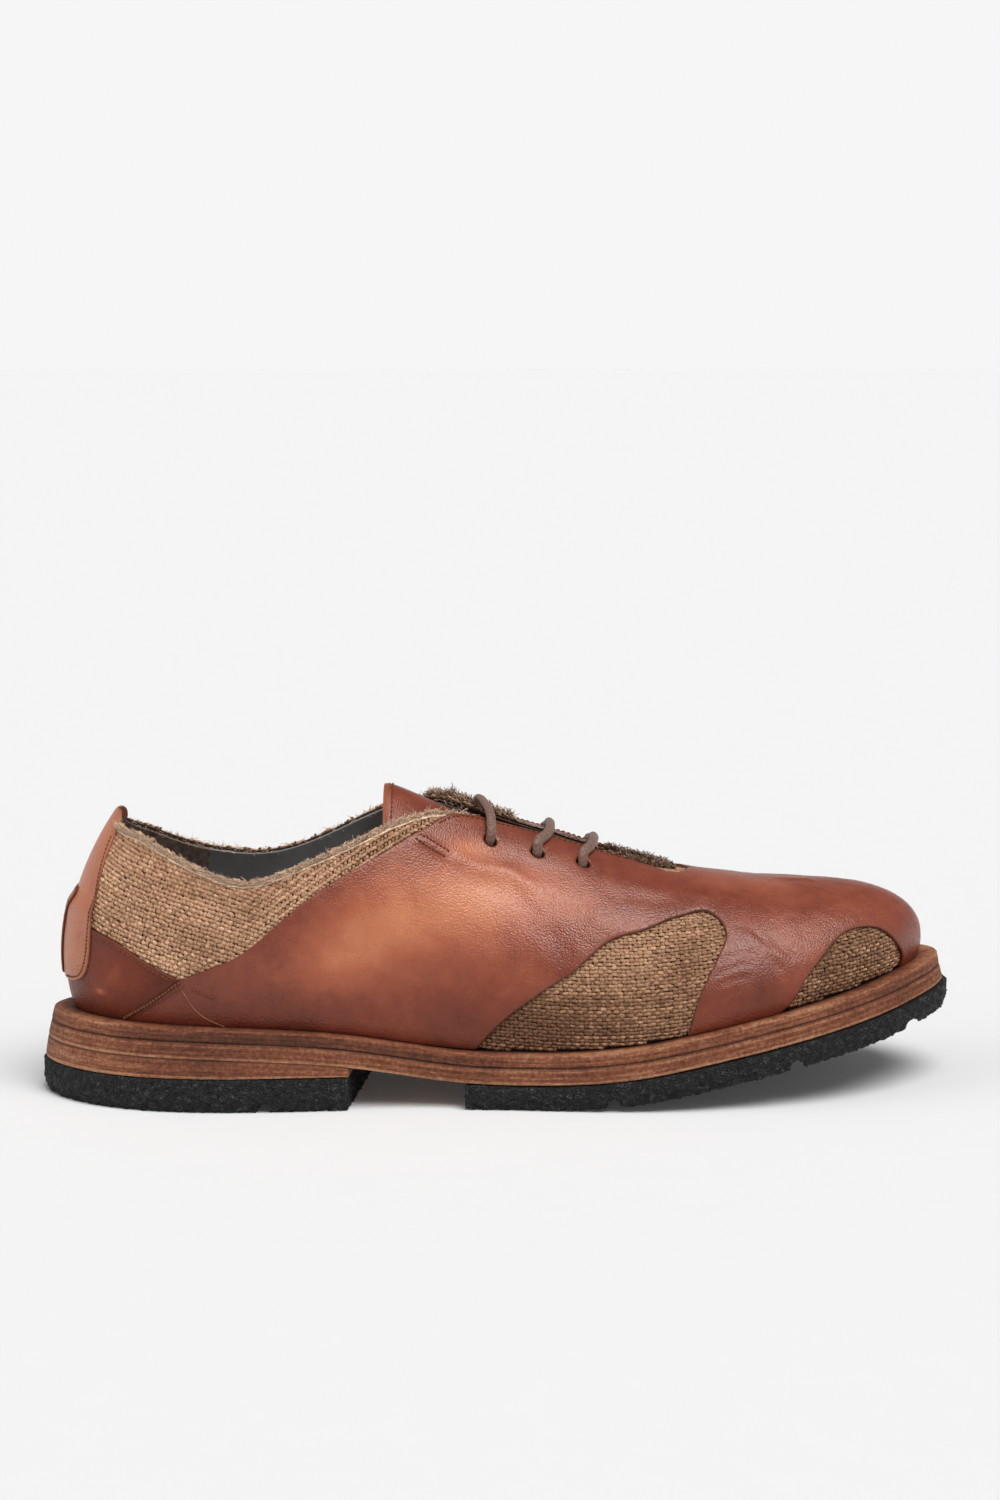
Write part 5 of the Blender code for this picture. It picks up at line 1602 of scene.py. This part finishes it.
def upper_stitches(side, lift, length, half, line):
    """Paths, outward directions and half width of a row of stitches on the upper."""
    spots = resample(line, length) / FLAT
    rows = spots[:-1, None] + np.diff(spots, axis=0)[:, None] * STITCH_REACH[:, None]
    point, _, _, normal = surface_frame(rows[..., 0] * side, rows[..., 1])
    if callable(lift):
        over = lift(point[..., 2])
    else:
        flat = rows.reshape(-1, 2)
        edges = [resample(edge, 1.0) for edge in (SLANT_SEAM, FACING_EDGE)]
        gap = np.min([distance_to(flat * FLAT, edge) for edge in edges], axis=0)
        rest = leather_relief(np.full(len(flat), side), flat) * np.clip(gap / RELIEF_FADE, 0.0, 1.0)
        over = lift + rest.reshape(rows.shape[:2])
    return point + normal * (over + STITCH_BOW)[..., None], normal, half


def make_stitches():
    made = [tongue_stitches()]
    for at_side, *row in STITCH_ROWS:
        made += [upper_stitches(side, *row) for side, _ in SIDES if on_side(side, at_side)]
    paths, upward = (np.concatenate(part) for part in zip(*(row[:2] for row in made)))
    wide = np.concatenate([np.full(path.shape[:2], half) for path, _, half in made])
    across = unit(np.cross(upward, unit(np.gradient(paths, axis=1))))
    points, faces = tubes(paths, across, upward, wide, wide)
    tint = np.tile(THREAD_COLOR, (len(points), 1))
    add_piece("stitches", points, faces, THREAD_LOOK, "dark_cord", (), tint, points)


def make_loose_thread():
    """One fine thread hanging from the crossing of the seams."""
    spots = resample(LOOSE_THREAD, 1.0) / FLAT
    point, _, _, normal = surface_frame(-spots[:, 0], spots[:, 1])
    rest = leather_relief(np.full(len(spots), -1), spots)
    line = point + normal * (OVER + rest + LOOSE_LIFT)[:, None]
    radius = np.full(len(line), LOOSE_RADIUS)
    points, faces, flow = cord_mesh(line, run_along(line), radius, radius, LOOSE_SIDES)
    tint = np.tile(LOOSE_COLOR, (len(points), 1))
    add_piece("loose_thread", points, faces, THREAD_LOOK, "dark_cord", (), tint, flow)


def finish_cad_materials():
    """Insole keeps its solid and takes a worn leather finish."""
    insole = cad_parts["insole"]
    insole.data.materials.clear()
    insole.data.materials.append(INSOLE_LOOK)


# Stage, light and camera, in metres

FLOOR_REACH = 60.0
FLOOR_LOW = (0.692, 0.692, 0.692)
FLOOR_HIGH = (0.704, 0.704, 0.704)
FLOOR_GLOW = 0.025
WHITE = (1.0, 1.0, 1.0, 1.0)
# Soft boxes: direction, cosine at the outer and inner edge, brightness
SOFTBOXES = (
    ((0.25, -0.40, 0.88), 0.91, 0.96, 8.0),
    ((-0.88, -0.25, 0.40), 0.86, 0.95, 1.5),
    ((-0.20, 0.15, 0.97), 0.80, 0.92, 0.25),
    ((0.80, -0.45, 0.40), 0.80, 0.95, 0.5),
)
AMBIENT = 0.12
BACKDROP = 0.80
CAMERA_SPOT = Vector((0.0, -1.0, 0.239))
CAMERA_AIM = Vector((0.0, 0.0, 0.110))
CAMERA_LENS = 72.98
CAMERA_SENSOR = 36.0


def make_stage():
    """Wide pale floor that glows faintly: painted light that lifts the shadows on it."""
    mesh = bpy.data.meshes.new("studio_floor")
    corners = ((-1, -1), (1, -1), (1, 1), (-1, 1))
    mesh.from_pydata([(x * FLOOR_REACH, y * FLOOR_REACH, 0.0) for x, y in corners], [], [(0, 1, 2, 3)])
    material, tree, shader = start_material("pale_paper", Roughness=0.9, Specular_IOR_Level=0.0,
                                            Emission_Color=WHITE, Emission_Strength=FLOOR_GLOW)
    grain = noise_value(tree, object_place(tree), 60.0, 2.0)
    feed(shader, Base_Color=ramp(tree, grain, ((0.0, FLOOR_LOW), (1.0, FLOOR_HIGH))))
    mesh.materials.append(material)
    floor = bpy.data.objects.new("studio_floor", mesh)
    bpy.context.scene.collection.objects.link(floor)


def make_world():
    """Even studio light: a pale surround, brighter behind the object, and soft boxes above it."""
    world = bpy.data.worlds.new("studio_light")
    world.use_nodes = True
    tree = world.node_tree
    way = add(tree, "ShaderNodeTexCoord").outputs["Generated"]
    _, back, up = add(tree, "ShaderNodeSeparateXYZ", {0: way}).outputs
    behind = value_range(tree, back, 0.70, 0.95, 0.62, 1.0, "SMOOTHSTEP")
    low = value_range(tree, up, 0.13, 0.42, 1.0, 0.0, "SMOOTHSTEP")
    light = plus(tree, AMBIENT, times(tree, times(tree, behind, low), BACKDROP))
    for aim, outer, inner, bright in SOFTBOXES:
        inputs = {0: way, 1: tuple(Vector(aim).normalized())}
        facing = add(tree, "ShaderNodeVectorMath", inputs, operation="DOT_PRODUCT").outputs["Value"]
        light = plus(tree, light, value_range(tree, facing, outer, inner, 0.0, bright, "SMOOTHSTEP"))
    background = tree.nodes["Background"]
    background.inputs["Color"].default_value = WHITE
    tree.links.new(light, background.inputs["Strength"])
    bpy.context.scene.world = world


def make_camera():
    lens = bpy.data.cameras.new("photo_camera")
    lens.sensor_width = CAMERA_SENSOR
    lens.lens = CAMERA_LENS
    lens.clip_start = 0.01
    camera = bpy.data.objects.new("photo_camera", lens)
    camera.location = CAMERA_SPOT
    camera.rotation_euler = (CAMERA_AIM - CAMERA_SPOT).to_track_quat("-Z", "Y").to_euler()
    bpy.context.scene.collection.objects.link(camera)
    bpy.context.scene.camera = camera


bpy.context.scene.view_settings.view_transform = "Standard"
make_world()
make_camera()
make_stage()
make_leather()
make_cloth()
make_raw_edges()
make_lining()
make_tongue()
make_laces()
make_sole()
make_rubber("heel_crepe", "heel_rubber", 0.60, 0.42)
make_rubber("forefoot_crepe", "forefoot_rubber", 0.66, 0.41)
make_stitches()
make_loose_thread()
finish_cad_materials()
